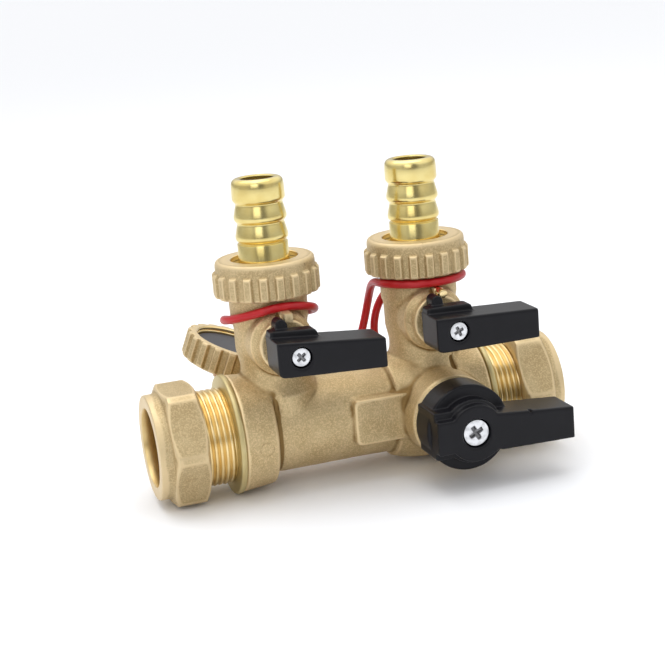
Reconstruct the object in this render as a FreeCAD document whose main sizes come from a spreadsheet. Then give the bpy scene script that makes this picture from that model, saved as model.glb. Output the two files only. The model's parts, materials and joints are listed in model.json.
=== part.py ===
"""Fill and flush valve for 22 mm pipe, millimetres.

The origin is the centre of the left pipe port, in the mouth of the left compression nut.
+X runs along the pipe to the right port, +Z up along the two branches, and the levers
face -Y. A main ball valve sits in the run under the right branch, and each branch has a
small ball valve, a barbed hose tail under a union nut, and a cap on a cord strap.
"""
import FreeCAD
import Part
import math
import os
import re
import Sketcher

Vector = FreeCAD.Vector

# Driving sizes: name, value, what it is
SIZES = [
    ("pipe_diameter", 22, "pipe that the two ports take"),
    ("pipe_play", 0.15, "radial room round the pipe"),
    ("nut_across_flats", 32, "compression nut's hexagon"),
    ("nut_length", 13.8, "compression nut, end to end"),
    ("nose_diameter", 30, "compression nut's round nose"),
    ("nose_length", 4.8, "compression nut's round nose"),
    ("nut_lead", 3.2, "bore of the nut's mouth before its olive cone"),
    ("run_thread_diameter", 27.8, "external thread of the pipe ports"),
    ("thread_play", 0.1, "radial room between two threads"),
    ("thread_relief", 1, "depth and width of the run-out groove behind a thread"),
    ("spigot_setback", 7.5, "from the port's mouth to the end of the body's spigot"),
    ("pipe_stop_setback", 26, "from the port's mouth to the shoulder that stops the pipe"),
    ("stop_wall", 1.2, "between the right shoulder and the main ball's right seat"),
    ("olive_thickness", 1.5, "olive at its middle"),
    ("olive_play", 0.05, "room round the olive"),
    ("collar_setback", 22, "from the port's mouth to the collar"),
    ("rim_diameter", 34.4, "machined rim of the collar"),
    ("rim_width", 1.8, "machined rim of the collar"),
    ("collar_width", 12, "collar with its rim"),
    ("collar_taper", 1.2, "how much the collar's radius falls over its width"),
    ("collar_rounding", 1.2, "rounded back corner of the collar"),
    ("run_bore_diameter", 19, "waterway of the run"),
    ("tube_wall", 3.6, "wall of the run between the branches"),
    ("left_branch_place", 38.2, "from the left mouth to the left branch's axis"),
    ("branch_spacing", 45.4, "between the branches' axes"),
    ("main_ball_diameter", 25.2, "main ball"),
    ("main_bore_diameter", 16, "bore through the main ball"),
    ("side_port_diameter", 8.4, "side port of the main ball, and the branches' waterway"),
    ("main_seat_thickness", 5.4, "main seat along the run"),
    ("main_seat_diameter", 23, "main seat, outside"),
    ("seat_recess", 4, "how deep a main seat sits in its recess"),
    ("seat_relief", 0.6, "how far a ball reaches past the back of its seat"),
    ("running_play", 0.05, "radial room of everything that turns"),
    ("cavity_play", 0.3, "room round a ball in its cavity"),
    ("housing_wall", 3.5, "wall of the main ball's housing"),
    ("housing_reach", 13.4, "from the main ball's centre to the housing's left crease"),
    ("housing_step", 1.3, "step from the tube up to the housing"),
    ("joint_gap", 0.2, "room behind the end of an adapter's inner thread"),
    ("left_plug_length", 7.2, "inner thread of the left adapter behind its rim"),
    ("pivot_height", 17.9, "from a branch valve's pivot up to the branch's end"),
    ("small_ball_diameter", 14, "branch ball"),
    ("small_seat_thickness", 3.6, "branch seat along the branch"),
    ("neck_wall", 3.2, "wall of the branch round its cavity"),
    ("saddle_diameter", 23.6, "foot of the branch"),
    ("saddle_height", 11.5, "top of the branch's straight foot"),
    ("waist_height", 7.6, "from the branch's narrowest place up to the pivot"),
    ("waist_diameter", 19.2, "narrowest place of the branch"),
    ("belly_height", 3.1, "from the bottom of the branch's widest stretch up to the pivot"),
    ("collar_seat_height", 5.4, "from the pivot up to the straight neck that the strap goes round"),
    ("neck_diameter", 22.2, "neck that the strap goes round"),
    ("outlet_height", 45, "end of the branch above the run's axis"),
    ("outlet_thread_diameter", 24, "external thread of the branch outlets"),
    ("retainer_length", 4.4, "screwed ring that holds the branch's upper seat"),
    ("retainer_wall", 0.9, "step from the cavity to the retainer's thread"),
    ("union_nut_height", 10.1, "union nut, end to end"),
    ("rib_height", 6.7, "ribs of the union nut and the cap's band"),
    ("rib_diameter", 30.2, "over the ribs"),
    ("band_diameter", 28.2, "between the ribs"),
    ("rib_width", 2.5, "one rib"),
    ("union_hole_diameter", 19, "hole in the union nut's top"),
    ("union_lip", 1.4, "thickness of the union nut's top"),
    ("lip_play", 0.1, "room between the nut's top and the flange"),
    ("washer_thickness", 1.5, "flat washer under the hose tail"),
    ("flange_thickness", 1.7, "hose tail's flange"),
    ("flange_diameter", 21.6, "hose tail's flange"),
    ("tail_bore_diameter", 9.4, "waterway of the hose tail"),
    ("tail_neck_diameter", 14.3, "hose tail below its barbs"),
    ("barb_diameter", 14.9, "over the barbs"),
    ("barb_root_diameter", 12.8, "between the barbs"),
    ("barb_pitch", 5.8, "from barb to barb"),
    ("barb_edge", 1.6, "height of a barb's steep lower flank"),
    ("first_barb_height", 10.6, "from the branch's end up to the lowest barb's edge"),
    ("tail_height", 27.2, "from the branch's end up to the top of the hose tail"),
    ("land_length", 2, "cylindrical land on the top barb"),
    ("main_boss_diameter", 25, "stem boss of the main valve"),
    ("main_boss_reach", 22.5, "from the run's axis to the boss's face"),
    ("main_stem_diameter", 9, "main stem"),
    ("main_stem_flats", 6.6, "across the main stem's flats"),
    ("main_flange_diameter", 12, "main stem's thrust flange"),
    ("main_tang_width", 4, "main stem's tang"),
    ("main_tang_length", 9, "main stem's tang"),
    ("main_tang_depth", 2.5, "slot in the main ball"),
    ("thrust_thickness", 0.9, "thrust washer"),
    ("flange_height", 1.5, "thrust flange of the main stem"),
    ("seal_width", 1.2, "seal ring along its stem"),
    ("seal_depth", 0.8, "seal ring across"),
    ("small_boss_diameter", 18.4, "stem boss of a branch valve"),
    ("small_boss_rim_diameter", 14.8, "rim of that boss"),
    ("small_boss_reach", 15, "from the branch's axis to the boss's face"),
    ("small_stem_diameter", 6, "branch stem"),
    ("small_stem_flats", 4.2, "across the branch stem's flats"),
    ("small_flange_diameter", 7.8, "branch stem's thrust flange"),
    ("small_tang_width", 2.4, "branch stem's tang"),
    ("small_tang_length", 5, "branch stem's tang"),
    ("small_tang_depth", 1.6, "slot in the branch ball"),
    ("plate_left_reach", 26.9, "from the main pivot to the label plate's left edge"),
    ("plate_length", 17.7, "label plate"),
    ("plate_bottom", 6, "label plate below the run's axis"),
    ("plate_top", 7.3, "label plate above the run's axis"),
    ("plate_reach", 14.2, "from the run's axis to the label plate's face"),
    ("plate_rounding", 1.5, "corners of the label plate"),
    ("stop_pin_diameter", 2.4, "pin that stops the main lever"),
    ("stop_pin_radius", 9.4, "that pin from the pivot"),
    ("stop_pin_length", 2.1, "that pin above the boss"),
    ("quarter_turn", 90, "turn of every lever, in degrees"),
    ("lug_place", 0.6, "stop lug beside the branch pivot"),
    ("lug_height", 8.3, "stop lug above the branch pivot"),
    ("lug_size", 2, "stop lug, width and height"),
    ("lug_reach", 18, "from the branch's axis to the lug's tip"),
    ("lug_root_reach", 14.6, "from the branch's axis to the end of a lug's thick root"),
    ("main_hub_diameter", 24.6, "main lever's round hub"),
    ("main_hub_front", 32, "from the run's axis to the hub's face"),
    ("main_lever_front", 38, "from the run's axis to the lever's face"),
    ("main_lever_back", 26, "from the run's axis to the arm's back"),
    ("main_lever_gap", 0.5, "between the stem boss and the hub"),
    ("main_lever_length", 29.5, "from the pivot to the lever's tip"),
    ("main_lever_tail", 11.4, "from the pivot to the lever's short end"),
    ("main_tail_height", 9.6, "lever's short end"),
    ("main_arm_height", 10.3, "arm beside the hub"),
    ("main_tip_height", 8.5, "arm at its tip"),
    ("main_bulge_diameter", 16.2, "raised round part about the main screw"),
    ("tier_width", 2, "step round the lever's face at its middle depth"),
    ("tier_front", 35.6, "from the run's axis to that step"),
    ("lever_rounding", 0.5, "rounded edges of a lever's faces"),
    ("main_screw_head", 7.4, "main screw's head"),
    ("main_screw_shank", 3.9, "main screw's thread"),
    ("main_screw_sink", 0.8, "main screw's head below the lever's face"),
    ("main_head_height", 2.5, "main screw's head"),
    ("main_screw_length", 7, "main screw's thread below the head"),
    ("screw_room", 0.45, "radial room round a screw's head"),
    ("notch_place", 16.3, "notch in the main arm's top edge, from the pivot"),
    ("notch_depth", 0.8, "notch in the main arm's top edge"),
    ("small_lever_front", 30, "from the branch's axis to the lever's face"),
    ("small_lever_back", 18.3, "from the branch's axis to the lever's back"),
    ("small_lever_length", 24, "from the pivot to the lever's tip"),
    ("small_lever_tail", 6.6, "from the pivot to the lever's short end"),
    ("small_lever_height", 9, "lever at its short end"),
    ("small_tip_height", 7.8, "lever at its tip"),
    ("small_tail_rounding", 3, "rounded lower corner of the short end"),
    ("ledge_left", 5, "ledge on the lever's back edge, left of the pivot"),
    ("ledge_right", 8.4, "ledge on the lever's back edge, right of the pivot"),
    ("ledge_height", 6.1, "top of that ledge above the pivot"),
    ("ledge_depth", 5, "that ledge along the pivot's axis"),
    ("tab_width", 3.4, "stop tab beside the lug"),
    ("tab_height", 8.6, "top of the stop tab above the pivot"),
    ("tab_reach", 2.4, "how far the stop tabs stand out behind the lever"),
    ("tab_gap", 0.3, "between a stop tab and the lug"),
    ("small_screw_head", 5, "branch screw's head"),
    ("small_screw_shank", 2.9, "branch screw's thread"),
    ("small_screw_sink", 0.8, "branch screw's head below the lever's face"),
    ("small_head_height", 1.8, "branch screw's head"),
    ("small_screw_length", 6, "branch screw's thread below the head"),
    ("recess_depth", 1.1, "cross recess of a screw"),
    ("cap_height", 8.4, "cap, closed face to rim"),
    ("cap_floor", 1.5, "cap's closed face"),
    ("cap_stud_diameter", 6, "stud under the cap that the strap's eye turns on"),
    ("stud_head_diameter", 8, "head of that stud"),
    ("stud_head_height", 0.9, "head of that stud"),
    ("eye_room", 0.4, "between the cap's closed face and the strap's eye"),
    ("eye_height", 2.4, "strap's eye"),
    ("eye_diameter", 9.6, "strap's eye"),
    ("disc_thickness", 1.5, "rubber disc in the cap"),
    ("strap_diameter", 2.4, "cord strap"),
]

# Places that follow from those sizes: name, sum, what it is
PLACES = [
    ("run_length", "left_branch_place + branch_spacing + main_ball_diameter/2 - seat_relief + stop_wall"
                   " + pipe_stop_setback - joint_gap*4", "from mouth to mouth of the two pipe ports"),
    ("pivot_place", "outlet_height - pivot_height", "branch valves' pivots above the run's axis"),
    ("waist_place", "pivot_place - waist_height", "narrowest place of the branch"),
    ("belly_place", "pivot_place - belly_height", "bottom of the branch's widest stretch"),
    ("neck_place", "pivot_place + collar_seat_height", "bottom of the straight neck"),
    ("barb_place", "outlet_height + first_barb_height", "lowest barb's edge above the run's axis"),
    ("tail_top", "outlet_height + tail_height", "top of the hose tail above the run's axis"),
]
NAMES = {name for name, value, note in SIZES + PLACES}

doc = FreeCAD.newDocument("fill_and_flush_valve")
sheet = doc.addObject("Spreadsheet::Sheet", "sizes")
for row, (name, value, note) in enumerate(SIZES + PLACES, 1):
    sheet.set(f"A{row}", name)
    sheet.set(f"B{row}", f"={value}")
    sheet.setAlias(f"B{row}", name)
    sheet.set(f"C{row}", note)
doc.recompute()


def formula(text):
    """The same sum with the sheet's name before each of its sizes."""
    return re.sub(r"[a-z_]+", lambda m: f"sizes.{m.group()}" if m.group() in NAMES else m.group(), text)


def number(text):
    """What a sum of the sheet's sizes comes to now."""
    found = SIZE_READER.evalExpression(formula(text))
    return float(getattr(found, "Value", found))


SIZE_READER = doc.addObject("App::FeaturePython", "size_reader")

# Places that several pieces share
LEFT_X = "left_branch_place"
MAIN_X = "(left_branch_place + branch_spacing)"
BRANCH_X = {"left": LEFT_X, "right": MAIN_X}
PIPE_R = "(pipe_diameter/2 + pipe_play)"
THREAD_R = "(run_thread_diameter/2)"
TUBE_R = "(run_bore_diameter/2 + tube_wall)"
BALL_R = "(main_ball_diameter/2)"
CAVITY_R = "(main_ball_diameter/2 + cavity_play)"
SEAT_BACK = f"({BALL_R} - seat_relief)"
SEAT_FRONT = f"({SEAT_BACK} - main_seat_thickness)"
RECESS_R = "(main_seat_diameter/2 + running_play)"
RIM_BACK = "(collar_setback + rim_width)"
COLLAR_R = "(rim_diameter/2 - collar_taper)"
SMALL_R = "(small_ball_diameter/2)"
SMALL_CAVITY_R = "(small_ball_diameter/2 + cavity_play)"
SMALL_SEAT_BACK = f"({SMALL_R} - seat_relief)"
SMALL_SEAT_FRONT = f"({SMALL_SEAT_BACK} - small_seat_thickness)"
RETAINER_R = f"({SMALL_CAVITY_R} + retainer_wall)"
RETAINER_FOOT = f"(pivot_place + {SMALL_SEAT_BACK})"
WASHER_Z = "outlet_height"
FLANGE_Z = "(outlet_height + washer_thickness)"
FLANGE_TOP = f"({FLANGE_Z} + flange_thickness)"
NUT_TOP = f"({FLANGE_TOP} + lip_play + union_lip)"
NUT_FOOT = f"({NUT_TOP} - union_nut_height)"


def fixed_to_sheet(thing, where, text):
    thing.setExpression(where, formula(text))


def new_sketch(body, name, plane, shift):
    """An empty sketch on one of the body's own planes, moved by three sums."""
    sketch = body.newObject("Sketcher::SketchObject", name)
    support = [f for f in body.Origin.OriginFeatures if f.Role == plane][0]
    sketch.AttachmentSupport = (support, [""])
    sketch.MapMode = "FlatFace"
    for axis, text in zip("xyz", shift):
        if text != "0":
            fixed_to_sheet(sketch, f"AttachmentOffset.Base.{axis}", text)
    return sketch


def arc_between(start, end, radius, side):
    """The short arc from start to end, its centre on the left or right of the way."""
    chord = end - start
    across = Vector(-chord.y, chord.x, 0).normalize() * (1 if side == "left" else -1)
    rise = math.sqrt(max(radius ** 2 - (chord.Length / 2) ** 2, 0))
    centre = (start + end) * 0.5 + across * rise
    first, last = (start, end) if side == "left" else (end, start)
    low = math.atan2(first.y - centre.y, first.x - centre.x)
    high = math.atan2(last.y - centre.y, last.x - centre.x)
    if high < low:
        high += 2 * math.pi
    return Part.ArcOfCircle(Part.Circle(centre, Vector(0, 0, 1), radius), low, high)


def outline(body, name, plane, points, shift=("0", "0", "0")):
    """A closed outline whose corners are held by sums of sizes.

    A point is (across, up), or (across, up, radius, side) where an arc starts there.
    """
    sketch = new_sketch(body, name, plane, shift)
    spots = [Vector(number(p[0]), number(p[1]), 0) for p in points]
    count = len(points)
    geometry = []
    ends = []
    for k, point in enumerate(points):
        start, end = spots[k], spots[(k + 1) % count]
        if len(point) == 2:
            geometry.append(Part.LineSegment(start, end))
            ends.append((1, 2))
        else:
            geometry.append(arc_between(start, end, number(point[2]), point[3]))
            ends.append((1, 2) if point[3] == "left" else (2, 1))
    sketch.addGeometry(geometry, False)
    constraints = []
    driven = []
    for k in range(count):
        after = (k + 1) % count
        constraints.append(Sketcher.Constraint("Coincident", k, ends[k][1], after, ends[after][0]))
    for k, point in enumerate(points):
        near = ends[k][0]
        for text, value, axis, kind in (
            (point[0], spots[k].x, -2, "DistanceX"),
            (point[1], spots[k].y, -1, "DistanceY"),
        ):
            if text == "0":
                constraints.append(Sketcher.Constraint("PointOnObject", k, near, axis))
            else:
                driven.append((len(constraints), text))
                constraints.append(Sketcher.Constraint(kind, -1, 1, k, near, value))
        if len(point) > 2:
            driven.append((len(constraints), point[2]))
            constraints.append(Sketcher.Constraint("Radius", k, number(point[2])))
    sketch.addConstraint(constraints)
    for index, text in driven:
        fixed_to_sheet(sketch, f"Constraints[{index}]", text)
    return sketch


def circle(body, name, plane, radius, shift=("0", "0", "0"), centre=("0", "0")):
    """A round outline on one of the body's own planes."""
    sketch = new_sketch(body, name, plane, shift)
    middle = Vector(number(centre[0]), number(centre[1]), 0)
    sketch.addGeometry(Part.Circle(middle, Vector(0, 0, 1), number(radius)), False)
    rules = [Sketcher.Constraint("Radius", 0, number(radius))]
    driven = [(0, radius)]
    for text, value, axis, kind in (
        (centre[0], middle.x, -2, "DistanceX"),
        (centre[1], middle.y, -1, "DistanceY"),
    ):
        if text == "0":
            rules.append(Sketcher.Constraint("PointOnObject", 0, 3, axis))
        else:
            driven.append((len(rules), text))
            rules.append(Sketcher.Constraint(kind, -1, 1, 0, 3, value))
    sketch.addConstraint(rules)
    for index, text in driven:
        fixed_to_sheet(sketch, f"Constraints[{index}]", text)
    return sketch


def volume_of(body):
    return body.Shape.Volume if body.Shape.Solids else 0.0


def turn(body, sketch, axis, cut=False, angle="360", midplane=False):
    """A revolution of the sketch about its own H_Axis or V_Axis, or a groove."""
    before = volume_of(body)
    kind = "PartDesign::Groove" if cut else "PartDesign::Revolution"
    feature = body.newObject(kind, f"{sketch.Name}_turn")
    feature.Profile = sketch
    feature.ReferenceAxis = (sketch, [axis])
    fixed_to_sheet(feature, "Angle", angle)
    feature.Midplane = midplane
    doc.recompute()
    check_change(body, feature, before, cut)
    return feature


def push(body, sketch, length, cut=False, reverse=False, midplane=False):
    """A pad of the sketch, or a pocket where cut is true."""
    before = volume_of(body)
    feature = body.newObject("PartDesign::Pocket" if cut else "PartDesign::Pad", f"{sketch.Name}_push")
    feature.Profile = sketch
    fixed_to_sheet(feature, "Length", length)
    feature.Reversed = reverse
    feature.Midplane = midplane
    doc.recompute()
    check_change(body, feature, before, cut)
    return feature


def check_change(body, feature, before, cut):
    """Stops where a feature adds or removes nothing."""
    change = volume_of(body) - before
    if (cut and change > -1e-6) or (not cut and change < 1e-6):
        raise RuntimeError(f"{feature.Name} changed the volume by {change}")


def repeat_round(body, feature, name, axis, count):
    """Even copies of one feature about an axis of the body's origin."""
    pattern = body.newObject("PartDesign::PolarPattern", name)
    pattern.Originals = [feature]
    pattern.Axis = ([f for f in body.Origin.OriginFeatures if f.Role == axis][0], [""])
    pattern.Angle = 360
    pattern.Occurrences = count
    body.Tip = pattern
    doc.recompute()
    return pattern


def round_edges(body, name, radius, chosen, bevel=False):
    """A fillet or a chamfer on the edges that the function picks."""
    base = body.Tip
    edges = [f"Edge{k}" for k, e in enumerate(base.Shape.Edges, 1) if chosen(e)]
    if not edges:
        raise RuntimeError(f"{name} finds no edges")
    feature = body.newObject("PartDesign::Chamfer" if bevel else "PartDesign::Fillet", name)
    feature.Base = (base, edges)
    fixed_to_sheet(feature, "Size" if bevel else "Radius", radius)
    doc.recompute()
    return feature


def rim_at(body, reach):
    """Picks the convex edges of the face that looks to -Y at y = -reach."""
    def outer(edge):
        box = edge.BoundBox
        if abs(box.YMin + reach) > 1e-4 or abs(box.YMax + reach) > 1e-4:
            return False
        # an inner corner has metal in front of the edge
        at = edge.valueAt((edge.FirstParameter + edge.LastParameter) / 2)
        return not any(body.Shape.isInside(at + step, 1e-6, False) for step in rim_steps(edge))
    return outer


def rim_steps(edge):
    """Short steps to -Y and to both sides of an edge's middle."""
    way = edge.tangentAt((edge.FirstParameter + edge.LastParameter) / 2)
    side = way.cross(Vector(0, 1, 0)).normalize() * 0.05
    return side + Vector(0, -0.05, 0), Vector(0, -0.05, 0) - side


def new_body(label):
    body = doc.addObject("PartDesign::Body", label)
    body.Label = label
    return body


def along(edge, direction):
    """Whether a straight edge runs along a direction."""
    if not isinstance(edge.Curve, Part.Line):
        return False
    return abs(abs(edge.Curve.Direction.dot(Vector(*direction))) - 1) < 1e-6


def middle(edge):
    return edge.valueAt((edge.FirstParameter + edge.LastParameter) / 2)


# Valve body

def port_x(side, distance):
    """Where a distance from a port's mouth lies on the run."""
    return f"({distance})" if side == "left" else f"(run_length - ({distance}))"


def run_outside(body):
    """The run between its two cast collars, with the housing of the main ball."""
    rim = "(rim_diameter/2 - thread_relief*0.3)"
    end = "(collar_setback + collar_width)"
    points = [
        (RIM_BACK, "0"),
        (RIM_BACK, f"{rim} - thread_relief*0.3"),
        (f"{RIM_BACK} + thread_relief*0.4", rim),
        (f"{end} - collar_rounding", COLLAR_R, "collar_rounding", "right"),
        (end, f"{COLLAR_R} - collar_rounding"),
        (end, TUBE_R),
        (f"{MAIN_X} - housing_reach", TUBE_R),
        (f"{MAIN_X} - housing_reach", f"{TUBE_R} + housing_step", "main_ball_diameter*1.2", "right"),
        (port_x("right", f"{end} + thread_relief"), f"{CAVITY_R} + housing_wall - housing_step/3"),
        (port_x("right", end), f"{COLLAR_R} - collar_rounding", "collar_rounding", "right"),
        (port_x("right", f"{end} - collar_rounding"), COLLAR_R),
        (port_x("right", f"{RIM_BACK} + thread_relief*0.4"), rim),
        (port_x("right", RIM_BACK), f"{rim} - thread_relief*0.3"),
        (port_x("right", RIM_BACK), "0"),
    ]
    turn(body, outline(body, "run", "XZ_Plane", points), "H_Axis")


def branch_outside(body, side):
    """One branch, from inside the run to its threaded outlet."""
    belly = f"({SMALL_CAVITY_R} + neck_wall)"
    points = [
        ("0", "thread_relief*2"),
        ("saddle_diameter/2", "thread_relief*2"),
        ("saddle_diameter/2", "saddle_height", "small_ball_diameter", "right"),
        ("waist_diameter/2", "waist_place"),
        (belly, "belly_place"),
        (belly, f"neck_place - thread_relief*2"),
        ("neck_diameter/2", "neck_place"),
        ("neck_diameter/2", NUT_FOOT),
        ("outlet_thread_diameter/2", f"{NUT_FOOT} + thread_relief/2"),
        ("outlet_thread_diameter/2", "outlet_height"),
        ("0", "outlet_height"),
    ]
    shift = (BRANCH_X[side], "0", "0")
    turn(body, outline(body, f"{side}_branch", "XZ_Plane", points, shift), "V_Axis")


def small_boss(body, side):
    """The boss that a branch stem comes out of, with the lug that stops its lever."""
    across = BRANCH_X[side]
    points = [
        ("0", "-thread_relief*2"),
        ("small_boss_diameter/2", "-thread_relief*2"),
        ("small_boss_diameter/2", "-(small_boss_reach - small_boss_reach/4)"),
        ("small_boss_rim_diameter/2", "-(small_boss_reach - small_boss_reach/8)"),
        ("small_boss_rim_diameter/2", "-small_boss_reach"),
        ("0", "-small_boss_reach"),
    ]
    shift = (across, "0", "pivot_place")
    turn(body, outline(body, f"{side}_boss", "XY_Plane", points, shift), "V_Axis")
    low = "pivot_place + lug_height - lug_size/2"
    high = "pivot_place + lug_height + lug_size/2"
    root = [
        (f"{across} + lug_place - lug_size*0.7", "pivot_place"),
        (f"{across} + lug_place + lug_size*0.7", "pivot_place"),
        (f"{across} + lug_place + lug_size*0.7", high),
        (f"{across} + lug_place - lug_size*0.7", high),
    ]
    push(body, outline(body, f"{side}_lug_root", "XZ_Plane", root), "lug_root_reach")
    if side == "left":
        tip = [
            (f"{across} + lug_place - lug_size/2", low),
            (f"{across} + lug_place + lug_size/2", low),
            (f"{across} + lug_place + lug_size/2", high),
            (f"{across} + lug_place - lug_size/2", high),
        ]
        sketch = outline(body, "left_lug", "XZ_Plane", tip)
    else:
        centre = (f"{across} + lug_place", "pivot_place + lug_height")
        sketch = circle(body, "right_lug", "XZ_Plane", "lug_size/2", centre=centre)
    push(body, sketch, "lug_reach")


def main_boss(body):
    """The boss of the main stem and the bare label plate beside it."""
    points = [
        ("0", "-thread_relief*2"),
        ("main_boss_diameter/2", "-thread_relief*2"),
        ("main_boss_diameter/2", "-(main_boss_reach - thread_relief)"),
        ("main_boss_diameter/2 - thread_relief", "-main_boss_reach"),
        ("0", "-main_boss_reach"),
    ]
    turn(body, outline(body, "main_boss", "XY_Plane", points, (MAIN_X, "0", "0")), "V_Axis")
    left = f"{MAIN_X} - plate_left_reach"
    plate = [
        (left, "-plate_bottom"),
        (f"{left} + plate_length", "-plate_bottom"),
        (f"{left} + plate_length", "plate_top"),
        (left, "plate_top"),
    ]
    push(body, outline(body, "label_plate", "XZ_Plane", plate), "plate_reach")
    edge_x = number(left)
    round_edges(
        body, "label_plate_corners", "plate_rounding",
        lambda e: along(e, (0, 1, 0)) and abs(middle(e).x - edge_x) < 1e-4,
    )
    centre = (
        f"{MAIN_X} + stop_pin_radius*cos(-135 deg)",
        "stop_pin_radius*sin(-135 deg)",
    )
    pin = circle(body, "stop_pin", "XZ_Plane", "stop_pin_diameter/2", centre=centre)
    push(body, pin, "main_boss_reach + stop_pin_length")


def body_cavities(body):
    """Waterways, ball cavities, seat recesses and stem holes."""
    thread = f"({THREAD_R} + thread_play)"
    left_floor = f"({RIM_BACK} + left_plug_length + joint_gap)"
    right_floor = f"({MAIN_X} + {SEAT_BACK} - seat_recess - joint_gap)"
    bore = [
        (f"{RIM_BACK} - thread_relief", "0"),
        (f"{RIM_BACK} - thread_relief", thread),
        (left_floor, thread),
        (left_floor, "run_bore_diameter/2"),
        (f"{MAIN_X} - {SEAT_BACK}", "run_bore_diameter/2"),
        (f"{MAIN_X} - {SEAT_BACK}", RECESS_R),
        (f"{MAIN_X} - {SEAT_BACK} + seat_recess", RECESS_R),
        (f"{MAIN_X} - {SEAT_BACK} + seat_recess", CAVITY_R),
        (right_floor, CAVITY_R),
        (right_floor, thread),
        (port_x("right", f"{RIM_BACK} - thread_relief"), thread),
        (port_x("right", f"{RIM_BACK} - thread_relief"), "0"),
    ]
    turn(body, outline(body, "run_bore", "XZ_Plane", bore), "H_Axis", cut=True)
    for side in ("left", "right"):
        branch = [
            ("0", "run_bore_diameter/4"),
            ("side_port_diameter/2", "run_bore_diameter/4"),
            ("side_port_diameter/2", f"pivot_place - {SMALL_SEAT_BACK}"),
            (SMALL_CAVITY_R, f"pivot_place - {SMALL_SEAT_BACK}"),
            (SMALL_CAVITY_R, RETAINER_FOOT),
            (f"{RETAINER_R} + thread_play", RETAINER_FOOT),
            (f"{RETAINER_R} + thread_play", "outlet_height + thread_relief"),
            ("0", "outlet_height + thread_relief"),
        ]
        shift = (BRANCH_X[side], "0", "0")
        turn(body, outline(body, f"{side}_branch_bore", "XZ_Plane", branch, shift), "V_Axis", cut=True)
        pocket = f"(small_flange_diameter/2 + running_play*3)"
        stem = [
            ("0", f"-{SMALL_R}*0.9"),
            (pocket, f"-{SMALL_R}*0.9"),
            (pocket, f"-({SMALL_STEM_SEAT})"),
            ("small_stem_diameter/2 + running_play", f"-({SMALL_STEM_SEAT})"),
            ("small_stem_diameter/2 + running_play", "-(small_boss_reach + thread_relief)"),
            ("0", "-(small_boss_reach + thread_relief)"),
        ]
        shift = (BRANCH_X[side], "0", "pivot_place")
        turn(body, outline(body, f"{side}_stem_hole", "XY_Plane", stem, shift), "V_Axis", cut=True)
    pocket = "(main_flange_diameter/2 + running_play*3)"
    stem = [
        ("0", f"-{BALL_R}*0.9"),
        (pocket, f"-{BALL_R}*0.9"),
        (pocket, f"-({MAIN_STEM_SEAT})"),
        ("main_stem_diameter/2 + running_play", f"-({MAIN_STEM_SEAT})"),
        ("main_stem_diameter/2 + running_play", "-(main_boss_reach + thread_relief)"),
        ("0", "-(main_boss_reach + thread_relief)"),
    ]
    turn(body, outline(body, "main_stem_hole", "XY_Plane", stem, (MAIN_X, "0", "0")), "V_Axis", cut=True)


# A stem's flange starts one play outside its ball; the washer and the pocket follow it.
MAIN_FLANGE_FOOT = f"({BALL_R} + cavity_play + running_play*2)"
MAIN_FLANGE_TOP = f"({MAIN_FLANGE_FOOT} + flange_height)"
MAIN_STEM_SEAT = f"({MAIN_FLANGE_TOP} + thrust_thickness + running_play*2)"
SMALL_FLANGE_FOOT = f"({SMALL_R} + cavity_play)"
SMALL_FLANGE_TOP = f"({SMALL_FLANGE_FOOT} + flange_height*0.6)"
SMALL_STEM_SEAT = f"({SMALL_FLANGE_TOP} + thrust_thickness)"
MAIN_LAND = f"((main_boss_reach - {MAIN_STEM_SEAT} - seal_width*2)/3)"
SMALL_LAND = f"((small_boss_reach - {SMALL_STEM_SEAT} - seal_width*2)/3)"


def make_valve_body():
    body = new_body("valve_body")
    run_outside(body)
    for side in ("left", "right"):
        branch_outside(body, side)
        small_boss(body, side)
    main_boss(body)
    body_cavities(body)
    return body


def make_adapter(side):
    """A pipe port: external thread and rim outside, and the inner thread that holds it in the body.

    The right one also holds the main ball's right seat.
    """
    body = new_body(f"{side}_end_adapter")
    x = lambda distance: port_x(side, distance)
    cone = "(olive_thickness + olive_play)"
    points = [
        (x("spigot_setback"), f"{PIPE_R} + {cone}"),
        (x("spigot_setback"), THREAD_R),
        (x("collar_setback - thread_relief"), THREAD_R),
        (x("collar_setback - thread_relief"), f"{THREAD_R} - thread_relief"),
        (x("collar_setback"), f"{THREAD_R} - thread_relief"),
        (x("collar_setback"), "rim_diameter/2 - rim_width/8"),
        (x("collar_setback + rim_width/8"), "rim_diameter/2"),
        (x(f"{RIM_BACK} - rim_width/8"), "rim_diameter/2"),
        (x(RIM_BACK), "rim_diameter/2 - rim_width/8"),
        (x(RIM_BACK), THREAD_R),
    ]
    if side == "left":
        end = x(f"{RIM_BACK} + left_plug_length")
        points += [(end, THREAD_R), (end, "run_bore_diameter/2")]
    else:
        back = f"({MAIN_X} + {SEAT_BACK})"
        end = f"({back} - seat_recess)"
        points += [(end, THREAD_R), (end, RECESS_R), (back, RECESS_R), (back, "run_bore_diameter/2")]
    stop = x("pipe_stop_setback") if side == "left" else f"({MAIN_X} + {SEAT_BACK} + stop_wall)"
    points += [
        (stop, "run_bore_diameter/2"),
        (stop, PIPE_R),
        (x(f"spigot_setback + {cone}*2"), PIPE_R),
    ]
    turn(body, outline(body, f"{side}_adapter", "XZ_Plane", points), "H_Axis")
    return body


# Compression nuts and olives

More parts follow.
